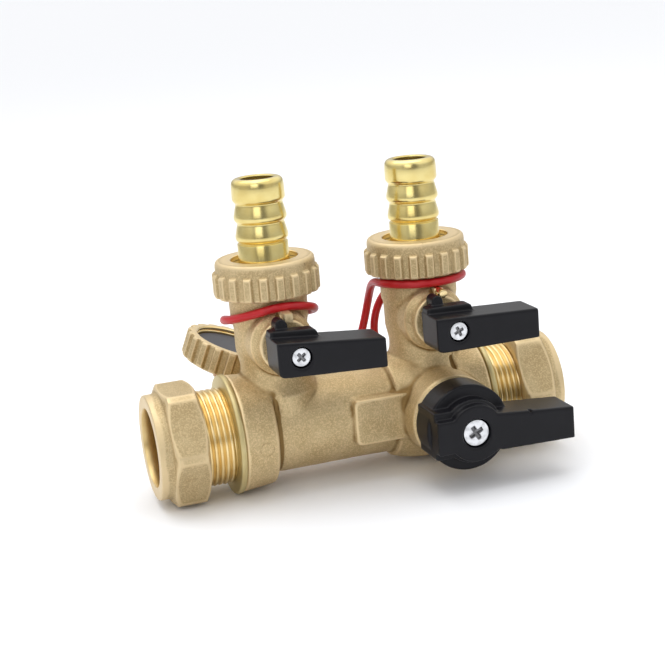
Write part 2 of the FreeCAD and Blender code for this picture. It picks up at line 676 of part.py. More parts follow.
def make_compression_nut(side):
    """A hexagon nut with a round nose; its bore takes the pipe, the olive and the thread."""
    body = new_body(f"{side}_compression_nut")
    x = lambda distance: port_x(side, distance)
    corner = "nut_across_flats/sqrt(3)"
    hexagon = [
        (corner, "0"),
        (f"{corner}/2", "nut_across_flats/2"),
        (f"-{corner}/2", "nut_across_flats/2"),
        (f"-{corner}", "0"),
        (f"-{corner}/2", "-nut_across_flats/2"),
        (f"{corner}/2", "-nut_across_flats/2"),
    ]
    flats = outline(body, f"{side}_hexagon", "YZ_Plane", hexagon, ("0", "0", x("nose_length")))
    push(body, flats, "nut_length - nose_length", reverse=side == "right")
    bevel = "(nut_across_flats/sqrt(3) - nut_across_flats/2)"
    for end, inward in (("nose_length", 1), ("nut_length", -1)):
        corner_cut = [
            (x(f"{end} - {inward}*0.1"), "nut_across_flats/2"),
            (x(f"{end} + {inward}*{bevel}*0.55"), f"{corner} + 0.1"),
            (x(f"{end} - {inward}*0.1"), f"{corner} + 0.1"),
        ]
        name = f"{side}_bevel_{'front' if inward == 1 else 'back'}"
        turn(body, outline(body, name, "XZ_Plane", corner_cut), "H_Axis", cut=True)
    nose = circle(body, f"{side}_nose", "YZ_Plane", "nose_diameter/2", ("0", "0", x("0")))
    push(body, nose, "nose_length + 0.1", reverse=side == "right")
    cone = "(olive_thickness + olive_play)"
    bore = [
        (x("-0.5"), "0"),
        (x("-0.5"), PIPE_R),
        (x("nut_lead"), PIPE_R),
        (x(f"nut_lead + {cone}*2"), f"{PIPE_R} + {cone}"),
        (x(f"nut_lead + {cone}*2"), f"{THREAD_R} + thread_play"),
        (x("nut_length + 0.5"), f"{THREAD_R} + thread_play"),
        (x("nut_length + 0.5"), "0"),
    ]
    turn(body, outline(body, f"{side}_nut_bore", "XZ_Plane", bore), "H_Axis", cut=True)
    nose_x = number(x("0"))
    round_edges(
        body, f"{side}_nose_edge", "nose_length/8",
        lambda e: isinstance(e.Curve, Part.Circle) and abs(e.Curve.Center.x - nose_x) < 1e-4
        and abs(e.Curve.Radius - number("nose_diameter/2")) < 1e-4,
    )
    return body


def make_olive(side):
    """The soft ring that the nut squeezes between its own cone and the body's."""
    body = new_body(f"{side}_olive")
    x = lambda distance: port_x(side, distance)
    cone = "(olive_thickness + olive_play)"
    inner = f"({PIPE_R} + olive_play)"
    crest = f"({PIPE_R} + {cone} - olive_play*2)"
    edge = f"({inner} + olive_play*3)"
    first = f"(nut_lead + 2*({edge} - {PIPE_R} + olive_play*2))"
    last = f"(spigot_setback + 2*({crest} - {edge}))"
    points = [
        (x(first), inner),
        (x(first), edge),
        (x(f"nut_lead + 2*{cone}"), crest),
        (x("spigot_setback"), crest),
        (x(last), edge),
        (x(last), inner),
    ]
    turn(body, outline(body, f"{side}_olive_section", "XZ_Plane", points), "H_Axis")
    return body


# Balls and seats

def half_disc(radius):
    """A half circle on the right of the V axis, as two arcs."""
    return [
        ("0", f"-{radius}", radius, "left"),
        (radius, "0", radius, "left"),
        ("0", radius),
    ]


def make_main_ball():
    """The main ball: bore along the run, side port up to the right branch, slot for the stem."""
    body = new_body("main_ball")
    turn(body, outline(body, "main_sphere", "XZ_Plane", half_disc(BALL_R), (MAIN_X, "0", "0")), "V_Axis")
    bore = circle(body, "main_ball_bore", "YZ_Plane", "main_bore_diameter/2", ("0", "0", MAIN_X))
    push(body, bore, "main_ball_diameter*1.2", cut=True, midplane=True)
    above = (MAIN_X, "0", f"{BALL_R} + 1")
    side = circle(body, "main_ball_side_port", "XY_Plane", "side_port_diameter/2", above)
    push(body, side, "main_ball_diameter/2", cut=True)
    slot = [
        (f"-{BALL_R}", "-main_tang_width/2 - running_play"),
        (BALL_R, "-main_tang_width/2 - running_play"),
        (BALL_R, "main_tang_width/2 + running_play"),
        (f"-{BALL_R}", "main_tang_width/2 + running_play"),
    ]
    cut = outline(body, "main_ball_slot", "XZ_Plane", slot, (MAIN_X, "0", f"{BALL_R} + 1"))
    push(body, cut, "main_tang_depth + 1", cut=True)
    return body


def make_small_ball(side):
    """A branch ball, shut at rest: its bore lies along the run."""
    body = new_body(f"{side}_ball")
    x = BRANCH_X[side]
    sphere = outline(body, f"{side}_sphere", "XZ_Plane", half_disc(SMALL_R), (x, "pivot_place", "0"))
    turn(body, sphere, "V_Axis")
    bore = circle(body, f"{side}_ball_bore", "YZ_Plane", "side_port_diameter/2", ("0", "pivot_place", x))
    push(body, bore, "small_ball_diameter*1.2", cut=True, midplane=True)
    slot = [
        (f"-{SMALL_R}", "-small_tang_width/2 - running_play"),
        (SMALL_R, "-small_tang_width/2 - running_play"),
        (SMALL_R, "small_tang_width/2 + running_play"),
        (f"-{SMALL_R}", "small_tang_width/2 + running_play"),
    ]
    cut = outline(body, f"{side}_ball_slot", "XZ_Plane", slot, (x, "pivot_place", f"{SMALL_R} + 1"))
    push(body, cut, "small_tang_depth + 1", cut=True)
    return body


def seat_section(back, front, inner, outer, sphere, flip):
    """A seat ring in front of a ball centred at nought: distance from the ball, then radius."""
    sign = "-" if flip else ""
    face = f"sqrt(({sphere})^2 - ({front})^2)"
    lip = f"sqrt(({sphere})^2 - ({inner})^2)"
    return [
        (f"{sign}({back})", inner),
        (f"{sign}({lip})", inner, sphere, "right" if flip else "left"),
        (f"{sign}({front})", face),
        (f"{sign}({front})", outer),
        (f"{sign}({back})", outer),
    ]


def make_main_seat(side):
    body = new_body(f"main_seat_{side}")
    section = seat_section(
        SEAT_BACK, SEAT_FRONT, "main_bore_diameter/2 + seat_relief/2", "main_seat_diameter/2",
        f"({BALL_R} + running_play)", side == "left",
    )
    sketch = outline(body, f"main_seat_{side}_section", "XZ_Plane", section, (MAIN_X, "0", "0"))
    turn(body, sketch, "H_Axis")
    return body


def make_small_seat(side, place):
    body = new_body(f"{side}_seat_{place}")
    section = seat_section(
        SMALL_SEAT_BACK, SMALL_SEAT_FRONT, "side_port_diameter/2 + seat_relief/4",
        f"{SMALL_CAVITY_R} - running_play", f"({SMALL_R} + running_play)", place == "lower",
    )
    swapped = []
    for point in section:
        turned = (point[1], point[0])
        if len(point) > 2:
            turned += (point[2], "left" if point[3] == "right" else "right")
        swapped.append(turned)
    shift = (BRANCH_X[side], "pivot_place", "0")
    turn(body, outline(body, f"{side}_seat_{place}_section", "XZ_Plane", swapped, shift), "V_Axis")
    return body


def make_retainer(side):
    """The threaded ring that holds the upper seat, with two slots for its key."""
    body = new_body(f"{side}_seat_retainer")
    points = [
        ("side_port_diameter/2 + seat_relief/2", RETAINER_FOOT),
        (RETAINER_R, RETAINER_FOOT),
        (RETAINER_R, f"{RETAINER_FOOT} + retainer_length"),
        ("side_port_diameter/2 + seat_relief/2", f"{RETAINER_FOOT} + retainer_length"),
    ]
    turn(body, outline(body, f"{side}_retainer", "XZ_Plane", points, (BRANCH_X[side], "0", "0")), "V_Axis")
    slot = [
        (f"-{RETAINER_R}*1.1", "-retainer_wall"),
        (f"{RETAINER_R}*1.1", "-retainer_wall"),
        (f"{RETAINER_R}*1.1", "retainer_wall"),
        (f"-{RETAINER_R}*1.1", "retainer_wall"),
    ]
    shift = (BRANCH_X[side], "0", f"{RETAINER_FOOT} + retainer_length")
    push(body, outline(body, f"{side}_retainer_slot", "XY_Plane", slot, shift), "retainer_wall*1.5", cut=True)
    return body


# Stems, seals and screws

def make_stem(label, x, z, sizes):
    """A blow-out proof stem: tang, thrust flange, two seal grooves and flats for the lever."""
    body = new_body(label)
    r = f"({sizes['diameter']}/2)"
    groove = f"({r} - seal_depth)"
    points = [("0", f"-{sizes['foot']}"), (sizes["flange"], f"-{sizes['foot']}")]
    points += [(sizes["flange"], f"-{sizes['top']}"), (r, f"-{sizes['top']}")]
    for k in range(2):
        start = f"({sizes['seal']} + {k}*{sizes['seal_step']})"
        points += [
            (r, f"-{start}"), (groove, f"-{start}"),
            (groove, f"-({start} + seal_width)"), (r, f"-({start} + seal_width)"),
        ]
    points += [(r, f"-{sizes['end']}"), ("0", f"-{sizes['end']}")]
    turn(body, outline(body, f"{label}_section", "XY_Plane", points, (x, "0", z)), "V_Axis")
    tang = [
        (f"-{sizes['tang_length']}/2", f"-{sizes['tang_width']}/2"),
        (f"{sizes['tang_length']}/2", f"-{sizes['tang_width']}/2"),
        (f"{sizes['tang_length']}/2", f"{sizes['tang_width']}/2"),
        (f"-{sizes['tang_length']}/2", f"{sizes['tang_width']}/2"),
    ]
    shift = (x, z, sizes["tang_foot"])
    section = outline(body, f"{label}_tang", "XZ_Plane", tang, shift)
    push(body, section, f"{sizes['foot']} - {sizes['tang_foot']}")
    for sign, name in (("", "upper"), ("-", "lower")):
        flat = [
            (f"-{r}*1.1", f"{sign}{sizes['flats']}/2"),
            (f"{r}*1.1", f"{sign}{sizes['flats']}/2"),
            (f"{r}*1.1", f"{sign}{r}*1.1"),
            (f"-{r}*1.1", f"{sign}{r}*1.1"),
        ]
        sketch = outline(body, f"{label}_{name}_flat", "XZ_Plane", flat, (x, z, sizes["end"]))
        push(body, sketch, f"{sizes['end']} - {sizes['flats_foot']}", cut=True)
    top = (x, z, sizes["end"])
    hole = circle(body, f"{label}_thread", "XZ_Plane", f"{sizes['screw']}/2 + running_play", top)
    push(body, hole, sizes["screw_depth"], cut=True)
    return body


def make_seals(label, x, z, sizes):
    """Two seal rings in the stem's grooves, as separate solids of one node."""
    rings = []
    for k in range(2):
        ring = doc.addObject("Part::Cut", f"{label}_{k + 1}")
        start = f"({sizes['seal']} + {k}*{sizes['seal_step']} + running_play)"
        outer = f"{sizes['diameter']}/2"
        inner = f"{outer} - seal_depth + running_play"
        for name, radius in (("outside", outer), ("inside", inner)):
            tube = doc.addObject("Part::Cylinder", f"{label}_{k + 1}_{name}")
            fixed_to_sheet(tube, "Radius", radius)
            fixed_to_sheet(tube, "Height", "seal_width - running_play*2")
            tube.Placement.Rotation = FreeCAD.Rotation(Vector(1, 0, 0), 90)
            fixed_to_sheet(tube, "Placement.Base.x", x)
            fixed_to_sheet(tube, "Placement.Base.y", f"-{start}")
            fixed_to_sheet(tube, "Placement.Base.z", z)
            if name == "outside":
                ring.Base = tube
            else:
                ring.Tool = tube
        rings.append(ring)
    group = doc.addObject("Part::Compound", label)
    group.Links = rings
    group.Label = label
    return group


def make_thrust_washer():
    body = new_body("main_thrust_washer")
    points = [
        ("main_stem_diameter/2 + running_play*2", f"-({MAIN_FLANGE_TOP} + running_play)"),
        ("main_flange_diameter/2", f"-({MAIN_FLANGE_TOP} + running_play)"),
        ("main_flange_diameter/2", f"-({MAIN_FLANGE_TOP} + running_play + thrust_thickness)"),
        ("main_stem_diameter/2 + running_play*2", f"-({MAIN_FLANGE_TOP} + running_play + thrust_thickness)"),
    ]
    turn(body, outline(body, "thrust_section", "XY_Plane", points, (MAIN_X, "0", "0")), "V_Axis")
    return body


def make_screw(label, x, z, face, head, head_height, shank, length):
    """A pan-head screw with a cross recess; face is how far its head's face stands from y = 0."""
    body = new_body(label)
    seat = f"({face} - {head_height})"
    points = [
        ("0", f"-({seat} - {length})"),
        (f"{shank}/2 - thread_play*3", f"-({seat} - {length})"),
        (f"{shank}/2", f"-({seat} - {length} + thread_play*5)"),
        (f"{shank}/2", f"-{seat}"),
        (f"{head}/2", f"-{seat}"),
        (f"{head}/2", f"-({seat} + {head_height}*0.4)", f"{head}*0.42", "right"),
        (f"{head}*0.26", f"-{face}"),
        ("0", f"-{face}"),
    ]
    turn(body, outline(body, f"{label}_section", "XY_Plane", points, (x, "0", z)), "V_Axis")
    narrow = f"{head}*0.15"
    wide = f"{head}*0.56"
    for name, width, height in (("tall", narrow, wide), ("wide", wide, narrow)):
        slot = [
            (f"-{width}/2", f"-{height}/2"),
            (f"{width}/2", f"-{height}/2"),
            (f"{width}/2", f"{height}/2"),
            (f"-{width}/2", f"{height}/2"),
        ]
        recess = outline(body, f"{label}_{name}_slot", "XZ_Plane", slot, (x, z, face))
        push(body, recess, "recess_depth", cut=True)
    return body


# Levers

def lever_bore(body, label, x, z, sizes):
    """The flatted socket for the stem, the screw's hole and its counterbore."""
    r = f"({sizes['diameter']}/2 + running_play)"
    half = f"({sizes['flats']}/2 + running_play)"
    run = f"sqrt({r}^2 - {half}^2)"
    socket = [
        (run, f"-{half}", r, "left"),
        (run, half),
        (f"-{run}", half, r, "left"),
        (f"-{run}", f"-{half}"),
    ]
    end = f"({sizes['end']} + running_play*2)"
    push(body, outline(body, f"{label}_socket", "XZ_Plane", socket, (x, z, end)), end, cut=True)
    front = (x, z, sizes["face"])
    hole = circle(body, f"{label}_screw_hole", "XZ_Plane", f"{sizes['screw']}/2 + running_play*2", front)
    push(body, hole, f"{sizes['face']} - {sizes['end']}", cut=True)
    sink = circle(body, f"{label}_counterbore", "XZ_Plane", f"{sizes['head']}/2 + screw_room", front)
    push(body, sink, f"{sizes['sink']} + {sizes['head_height']}", cut=True)


def make_main_handle():
    """The main lever: round hub, short end, raised round part about the screw and arm."""
    body = new_body("main_handle")
    x = MAIN_X
    back = "(main_boss_reach + main_lever_gap)"
    hub = circle(body, "hub", "XZ_Plane", "main_hub_diameter/2", (x, "0", back))
    push(body, hub, f"main_hub_front - {back}")
    tail = [
        ("-main_lever_tail", "-main_tail_height/2"),
        ("0", "-main_tail_height/2"),
        ("0", "main_tail_height/2"),
        ("-main_lever_tail", "main_tail_height/2"),
    ]
    push(body, outline(body, "short_end", "XZ_Plane", tail, (x, "0", back)), f"main_lever_front - {back}")
    bulge = circle(body, "bulge", "XZ_Plane", "main_bulge_diameter/2", (x, "0", back))
    push(body, bulge, f"main_lever_front - {back}")
    wide_tail = [
        ("-main_lever_tail", "-main_tail_height/2 - tier_width"),
        ("0", "-main_tail_height/2 - tier_width"),
        ("0", "main_tail_height/2 + tier_width"),
        ("-main_lever_tail", "main_tail_height/2 + tier_width"),
    ]
    push(body, outline(body, "tier_end", "XZ_Plane", wide_tail, (x, "0", back)), f"tier_front - {back}")
    tier = circle(body, "tier", "XZ_Plane", "main_bulge_diameter/2 + tier_width/2", (x, "0", back))
    push(body, tier, f"tier_front - {back}")
    arm = [
        ("0", "-main_arm_height/2"),
        ("main_lever_length", "-main_tip_height/2"),
        ("main_lever_length", "main_tip_height/2"),
        ("0", "main_arm_height/2"),
    ]
    arm_section = outline(body, "arm", "XZ_Plane", arm, (x, "0", "main_lever_back"))
    push(body, arm_section, "main_lever_front - main_lever_back")
    rims = (
        ("hub_rounding", "main_hub_front"),
        ("tier_rounding", "tier_front"),
        ("face_rounding", "main_lever_front"),
    )
    for name, front in rims:
        round_edges(body, name, "lever_rounding", rim_at(body, number(front)))
    notch = [
        ("notch_place - notch_depth", "main_arm_height/2 + notch_depth/2"),
        ("notch_place", "main_arm_height/2 - notch_depth*2"),
        ("notch_place + notch_depth", "main_arm_height/2 + notch_depth/2"),
    ]
    notch_section = outline(body, "notch", "XZ_Plane", notch, (x, "0", "main_lever_front"))
    push(body, notch_section, "notch_depth*2", cut=True)
    lever_bore(body, "main_handle", x, "0", MAIN_LEVER)
    track = [
        (f"-({back} + stop_pin_length)", "-(stop_pin_radius + stop_pin_diameter*0.6)"),
        (f"-({back} - 0.2)", "-(stop_pin_radius + stop_pin_diameter*0.6)"),
        (f"-({back} - 0.2)", "-(stop_pin_radius - stop_pin_diameter*0.6)"),
        (f"-({back} + stop_pin_length)", "-(stop_pin_radius - stop_pin_diameter*0.6)"),
    ]
    sketch = outline(body, "stop_track", "YZ_Plane", track, ("0", "0", x))
    sweep = "quarter_turn*1 deg + 2*asin((stop_pin_diameter/2 + running_play*4)/stop_pin_radius)"
    turn(body, sketch, "H_Axis", cut=True, angle=sweep, midplane=True)
    return body


def make_small_handle(side):
    """A branch lever, with a ledge on its back edge and two tabs that meet the branch's lug."""
    label = f"{side}_handle"
    body = new_body(label)
    x = BRANCH_X[side]
    z = "pivot_place"
    depth = "small_lever_front - small_lever_back"
    profile = [
        ("-small_lever_tail + small_tail_rounding", "-small_lever_height/2"),
        ("small_lever_length", "-small_tip_height/2"),
        ("small_lever_length", "small_tip_height/2"),
        ("-small_lever_tail", "small_lever_height/2"),
        ("-small_lever_tail", "-small_lever_height/2 + small_tail_rounding", "small_tail_rounding", "left"),
    ]
    shift = (x, z, "small_lever_back")
    push(body, outline(body, f"{label}_bar", "XZ_Plane", profile, shift), depth)
    ledge = [
        ("-ledge_left", "0"),
        ("ledge_right", "0"),
        ("ledge_right", "ledge_height"),
        ("-ledge_left", "ledge_height"),
    ]
    push(body, outline(body, f"{label}_ledge", "XZ_Plane", ledge, shift), "ledge_depth")
    round_edges(body, f"{label}_face_rounding", "lever_rounding", rim_at(body, number("small_lever_front")))
    edge_x = number(f"{x} + ledge_right")
    top_z = number(f"{z} + ledge_height")
    round_edges(
        body, f"{label}_ledge_corner", "ledge_height/4",
        lambda e: (
            along(e, (0, 1, 0)) and abs(middle(e).x - edge_x) < 1e-4 and abs(middle(e).z - top_z) < 1e-4
        ),
    )
    right = "(lug_place - lug_size/2 - tab_gap)"
    left = f"({right} - tab_width)"
    near = f"({TAB_FOOT})"
    tab = [
        (left, near),
        (right, near),
        (right, "tab_height - tab_width/2", "tab_width/2", "left"),
        (left, "tab_height - tab_width/2"),
    ]
    shift = (x, z, "small_lever_back - tab_reach")
    push(body, outline(body, f"{label}_tab", "XZ_Plane", tab, shift), "tab_reach + ledge_depth/2")
    second = [
        (near, "-(lug_place + lug_size/2 + tab_gap)"),
        ("tab_height", "-(lug_place + lug_size/2 + tab_gap)"),
        ("tab_height", "-(lug_place + lug_size/2 + tab_gap + tab_width)"),
        (near, "-(lug_place + lug_size/2 + tab_gap + tab_width)"),
    ]
    push(body, outline(body, f"{label}_open_tab", "XZ_Plane", second, shift), "tab_reach + ledge_depth/2")
    lever_bore(body, label, x, z, SMALL_LEVER)
    return body


TAB_FOOT = "small_stem_diameter/2 + running_play*4"
MAIN_LEVER = {
    "diameter": "main_stem_diameter", "flats": "main_stem_flats", "foot": MAIN_FLANGE_FOOT,
    "flange": "main_flange_diameter/2", "top": MAIN_FLANGE_TOP,
    "seal": f"({MAIN_STEM_SEAT} + {MAIN_LAND})", "seal_step": f"(seal_width + {MAIN_LAND})",
    "flats_foot": "(main_boss_reach + main_lever_gap)",
    "end": "(main_lever_front - main_screw_sink - main_head_height - main_screw_length*0.3)",
    "tang_width": "main_tang_width", "tang_length": "main_tang_length",
    "tang_foot": f"({BALL_R} - main_tang_depth + running_play)",
    "screw": "main_screw_shank", "screw_depth": "main_screw_length*0.8",
    "face": "main_lever_front", "head": "main_screw_head", "sink": "main_screw_sink",
    "head_height": "main_head_height",
}
SMALL_LEVER = {
    "diameter": "small_stem_diameter", "flats": "small_stem_flats", "foot": SMALL_FLANGE_FOOT,
    "flange": "small_flange_diameter/2", "top": SMALL_FLANGE_TOP,
    "seal": f"({SMALL_STEM_SEAT} + {SMALL_LAND})", "seal_step": f"(seal_width + {SMALL_LAND})",
    "flats_foot": "small_lever_back",
    "end": "(small_lever_front - small_screw_sink - small_head_height - small_screw_length*0.27)",
    "tang_width": "small_tang_width", "tang_length": "small_tang_length",
    "tang_foot": f"({SMALL_R} - small_tang_depth + running_play)",
    "screw": "small_screw_shank", "screw_depth": "small_screw_length*0.8",
    "face": "small_lever_front", "head": "small_screw_head", "sink": "small_screw_sink",
    "head_height": "small_head_height",
}


# Hose tails, washers, union nuts and caps

def make_hose_tail(side):
    """A barbed tail: flange, neck, three barbs and a cylindrical land on the top one."""
    body = new_body(f"{side}_hose_tail")
    bore = "tail_bore_diameter/2"
    crest = "barb_diameter/2"
    root = "barb_root_diameter/2"
    neck = "tail_neck_diameter/2"
    points = [
        (bore, FLANGE_Z),
        ("flange_diameter/2", FLANGE_Z),
        ("flange_diameter/2", FLANGE_TOP),
        (neck, FLANGE_TOP),
        (neck, "barb_place - barb_edge"),
    ]
    for k in range(3):
        edge = f"(barb_place + {k}*barb_pitch)"
        points += [(root, f"{edge} - barb_edge/2"), (crest, edge)]
        if k < 2:
            points[-1] += ("barb_diameter*0.7", "left")
            points += [(f"{root} + barb_edge/8", f"{edge} + barb_pitch - barb_edge")]
    land = f"(barb_place + 2*barb_pitch)"
    points += [
        (crest, f"{land} + land_length", "barb_edge*2", "left"),
        (f"{bore} + barb_edge*0.56", "tail_top"),
        (bore, "tail_top"),
    ]
    turn(body, outline(body, f"{side}_tail", "XZ_Plane", points, (BRANCH_X[side], "0", "0")), "V_Axis")
    return body


def make_union_washer(side):
    body = new_body(f"{side}_union_washer")
    points = [
        ("tail_bore_diameter/2", WASHER_Z),
        ("flange_diameter/2", WASHER_Z),
        ("flange_diameter/2", FLANGE_Z),
        ("tail_bore_diameter/2", FLANGE_Z),
    ]
    turn(body, outline(body, f"{side}_washer", "XZ_Plane", points, (BRANCH_X[side], "0", "0")), "V_Axis")
    return body


RIB_COUNT = 20


def add_ribs(body, label, foot, height):
    """Even grip ribs round the body's own Z axis."""
    root = "(band_diameter/2 - thread_relief/2)"
    rib = [
        (root, "-rib_width/2"),
        ("rib_diameter/2 - thread_relief/3", "-rib_width/2"),
        ("rib_diameter/2", "-rib_width/4"),
        ("rib_diameter/2", "rib_width/4"),
        ("rib_diameter/2 - thread_relief/3", "rib_width/2"),
        (root, "rib_width/2"),
    ]
    first = push(body, outline(body, f"{label}_rib", "XY_Plane", rib, ("0", "0", foot)), height)
    repeat_round(body, first, f"{label}_ribs", "Z_Axis", RIB_COUNT)


def make_union_nut(side):
    """The ribbed nut that clamps the hose tail's flange, made on its own axis and then placed."""
    label = f"{side}_union_nut"
    body = new_body(label)
    lip = "(union_nut_height - union_lip)"
    inner = "(outlet_thread_diameter/2 + thread_play)"
    points = [
        (inner, "0"),
        ("band_diameter/2", "0"),
        ("band_diameter/2", "union_nut_height - union_lip/2", "union_lip/2", "left"),
        ("band_diameter/2 - union_lip/2", "union_nut_height"),
        ("union_hole_diameter/2", "union_nut_height"),
        ("union_hole_diameter/2", lip),
        (inner, lip),
    ]
    turn(body, outline(body, label + "_section", "XZ_Plane", points), "V_Axis")
    add_ribs(body, label, "0", "rib_height")
    fixed_to_sheet(body, "Placement.Base.x", BRANCH_X[side])
    fixed_to_sheet(body, "Placement.Base.z", NUT_FOOT)
    return body


# Rim centre of each hanging cap, measured from its branch valve's pivot, and the way its mouth faces
CAP_PLACES = {
    "left": (Vector(-3.4, 29.8, -8.2), Vector(0.359, -0.11, 0.927)),
    "right": (Vector(-14.6, 35, -27.1), Vector(0.1, 0.35, 0.93)),
}


def pivot(side):
    """The branch valve's pivot, where its cap and strap are measured from."""
    return Vector(number(BRANCH_X[side]), 0, number("pivot_place"))


def cap_placement(side):
    """The cap's own frame: origin in the middle of its rim, +Z out of its mouth."""
    rim, mouth = CAP_PLACES[side]
    return FreeCAD.Placement(pivot(side) + rim, FreeCAD.Rotation(Vector(0, 0, 1), mouth))


def make_cap(side):
    """A ribbed screw cap with a stud under its closed face."""
    label = f"{side}_cap"
    body = new_body(label)
    inner = "(outlet_thread_diameter/2 + thread_play)"
    bottom = "(-cap_height)"
    points = [
        ("0", bottom),
        ("band_diameter/2 - cap_floor/2", bottom, "cap_floor/2", "left"),
        ("band_diameter/2", f"{bottom} + cap_floor/2"),
        ("band_diameter/2", "0"),
        (inner, "0"),
        (inner, f"{bottom} + cap_floor"),
        ("0", f"{bottom} + cap_floor"),
    ]
    turn(body, outline(body, label + "_section", "XZ_Plane", points), "V_Axis")
    add_ribs(body, label, f"{bottom} + cap_floor/2", "cap_height - cap_floor/2")
    stud = circle(body, f"{label}_stud", "XY_Plane", "cap_stud_diameter/2", ("0", "0", bottom))
    push(body, stud, "eye_room + eye_height + joint_gap/2 + stud_head_height", reverse=True)
    head = circle(
        body, f"{label}_stud_head", "XY_Plane", "stud_head_diameter/2",
        ("0", "0", f"{bottom} - eye_room - eye_height - joint_gap/2"),
    )
    push(body, head, "stud_head_height", reverse=True)
    body.Placement = cap_placement(side)
    return body


def make_strap_eye(side):
    """The eye at the strap's ends; the cap's stud turns in it."""
    label = f"{side}_strap_eye"
    body = new_body(label)
    top = "(-cap_height - eye_room)"
    points = [
        ("cap_stud_diameter/2 + running_play", top),
        ("eye_diameter/2", top),
        ("eye_diameter/2", f"{top} - eye_height"),
        ("cap_stud_diameter/2 + running_play", f"{top} - eye_height"),
    ]
    turn(body, outline(body, f"{label}_section", "XZ_Plane", points), "V_Axis")
    body.Placement = cap_placement(side)
    return body


def make_cap_disc(side):
    label = f"{side}_cap_washer"
    body = new_body(label)
    disc = circle(
        body, f"{label}_face", "XY_Plane", "outlet_thread_diameter/2 + thread_play/2",
        ("0", "0", "cap_floor - cap_height"),
    )
    push(body, disc, "disc_thickness")
    body.Placement = cap_placement(side)
    return body


# Cord straps

# Corner points of each strap, measured from its branch valve's pivot
STRAP_POINTS = {
    "left": [
        (-4.1, 27.8, -19), (1, 21.7, -23.9), (7, 14.5, -20.1), (8, 11.2, -12.5), (4.8, 12.6, -5.1),
        (-3.3, 12.7, 1.1), (-11.4, 7.7, 4.7), (-13.7, -1.5, 6.3), (-8.9, -10.4, 8.7), (0, -13.7, 11),
        (9.8, -10.2, 9.3), (13.7, -0.2, 5.9), (9.9, 10.3, 2.6), (10.3, 14.5, -2.8), (12.9, 17, -12.4),
        (13.9, 23, -21.4), (6.5, 30.4, -24.2), (-2.8, 30.6, -19.1),
    ],
    "right": [
        (-17, 27.5, -34.8), (-19.8, 19.5, -32.7), (-20.7, 14, -25.7), (-18.4, 14.9, -16.1),
        (-16.8, 15.6, -5.1), (-15.4, 13, 3.9), (-13.3, 5.5, 9.9), (-12.5, -5.7, 10.8),
        (-4.7, -13, 10.8), (5.7, -12.6, 10.7), (12.8, -5.4, 10.3), (12.7, 5.4, 9.7), (5.2, 12.8, 8.5),
        (-4.4, 14.8, 4.8), (-10.9, 15.6, -2.5), (-10.6, 16.6, -11.9), (-2.2, 18.2, -22.1),
        (-4.6, 18.1, -31), (-10.5, 20.9, -34.9), (-14, 27.5, -35.1),
    ],
}


def cord_path(points):
    """Straight runs joined by tangent arcs, each arc as large as its two runs allow."""
    corners = []
    for before, point, after in zip(points, points[1:], points[2:]):
        back = before - point
        on = after - point
        half_turn = (math.pi - back.getAngle(on)) / 2
        reach = 0.45 * min(back.Length, on.Length)
        radius = reach / math.tan(half_turn)
        start = point + back.normalize() * reach
        end = point + on.normalize() * reach
        inward = (back + on).normalize()
        centre_gap = math.hypot(radius, reach)
        corners.append((start, point + inward * (centre_gap - radius), end, radius))
    edges = []
    here = points[0]
    for start, through, end, radius in corners:
        edges.append(Part.LineSegment(here, start).toShape())
        edges.append(Part.Arc(start, through, end).toShape())
        here = end
    edges.append(Part.LineSegment(here, points[-1]).toShape())
    return Part.Wire(edges), [c[3] for c in corners]


def make_strap(side):
    """The cord from the cap's eye, round the branch's neck and back to the eye."""
    points = [pivot(side) + Vector(*p) for p in STRAP_POINTS[side]]
    wire, radii = cord_path(points)
    start = (points[1] - points[0]).normalize()
    radius = number("strap_diameter/2")
    ring = Part.Wire(Part.makeCircle(radius, points[0], start))
    solid = wire.makePipeShell([ring], True, False)
    expected = math.pi * radius ** 2 * wire.Length
    print(f"{side} strap: {wire.Length:.1f} mm long, tightest {min(radii):.1f} mm,",
          f"volume {solid.Volume:.1f} of {expected:.1f}")
    print("  radii", [round(r, 1) for r in radii])
    # its ends follow the eye's round wall
    room = number("eye_diameter/2 + joint_gap/2")
    foot = number("cap_height + eye_room + eye_height + strap_diameter")
    wall = Part.makeCylinder(room, number("eye_height + strap_diameter*2"), Vector(0, 0, -foot))
    wall.Placement = cap_placement(side)
    solid = solid.cut(wall)
    strap = doc.addObject("Part::Feature", f"{side}_cap_strap")
    strap.Label = f"{side}_cap_strap"
    strap.Shape = solid
    return strap


def make_all():
    """Every sub-part, in the order of taking the valve apart from outside to inside."""
    made = [make_valve_body(), make_main_ball(), make_thrust_washer()]
    for side in ("left", "right"):
        made += [make_adapter(side), make_compression_nut(side), make_olive(side), make_main_seat(side)]
    main_face = "(main_lever_front - main_screw_sink)"
    made += [
        make_stem("main_stem", MAIN_X, "0", MAIN_LEVER),
        make_seals("main_stem_seals", MAIN_X, "0", MAIN_LEVER),
        make_main_handle(),
        make_screw("main_handle_screw", MAIN_X, "0", main_face, "main_screw_head", "main_head_height",
                   "main_screw_shank", "main_screw_length"),
    ]
    small_face = "(small_lever_front - small_screw_sink)"
    for side in ("left", "right"):
        x = BRANCH_X[side]
        made += [
            make_small_ball(side),
            make_small_seat(side, "lower"),
            make_small_seat(side, "upper"),
            make_retainer(side),
            make_stem(f"{side}_stem", x, "pivot_place", SMALL_LEVER),
            make_seals(f"{side}_stem_seals", x, "pivot_place", SMALL_LEVER),
            make_small_handle(side),
            make_screw(f"{side}_handle_screw", x, "pivot_place", small_face, "small_screw_head",
                       "small_head_height", "small_screw_shank", "small_screw_length"),
            make_union_washer(side),
            make_hose_tail(side),
            make_union_nut(side),
            make_cap(side),
            make_cap_disc(side),
            make_strap_eye(side),
            make_strap(side),
        ]
    return made


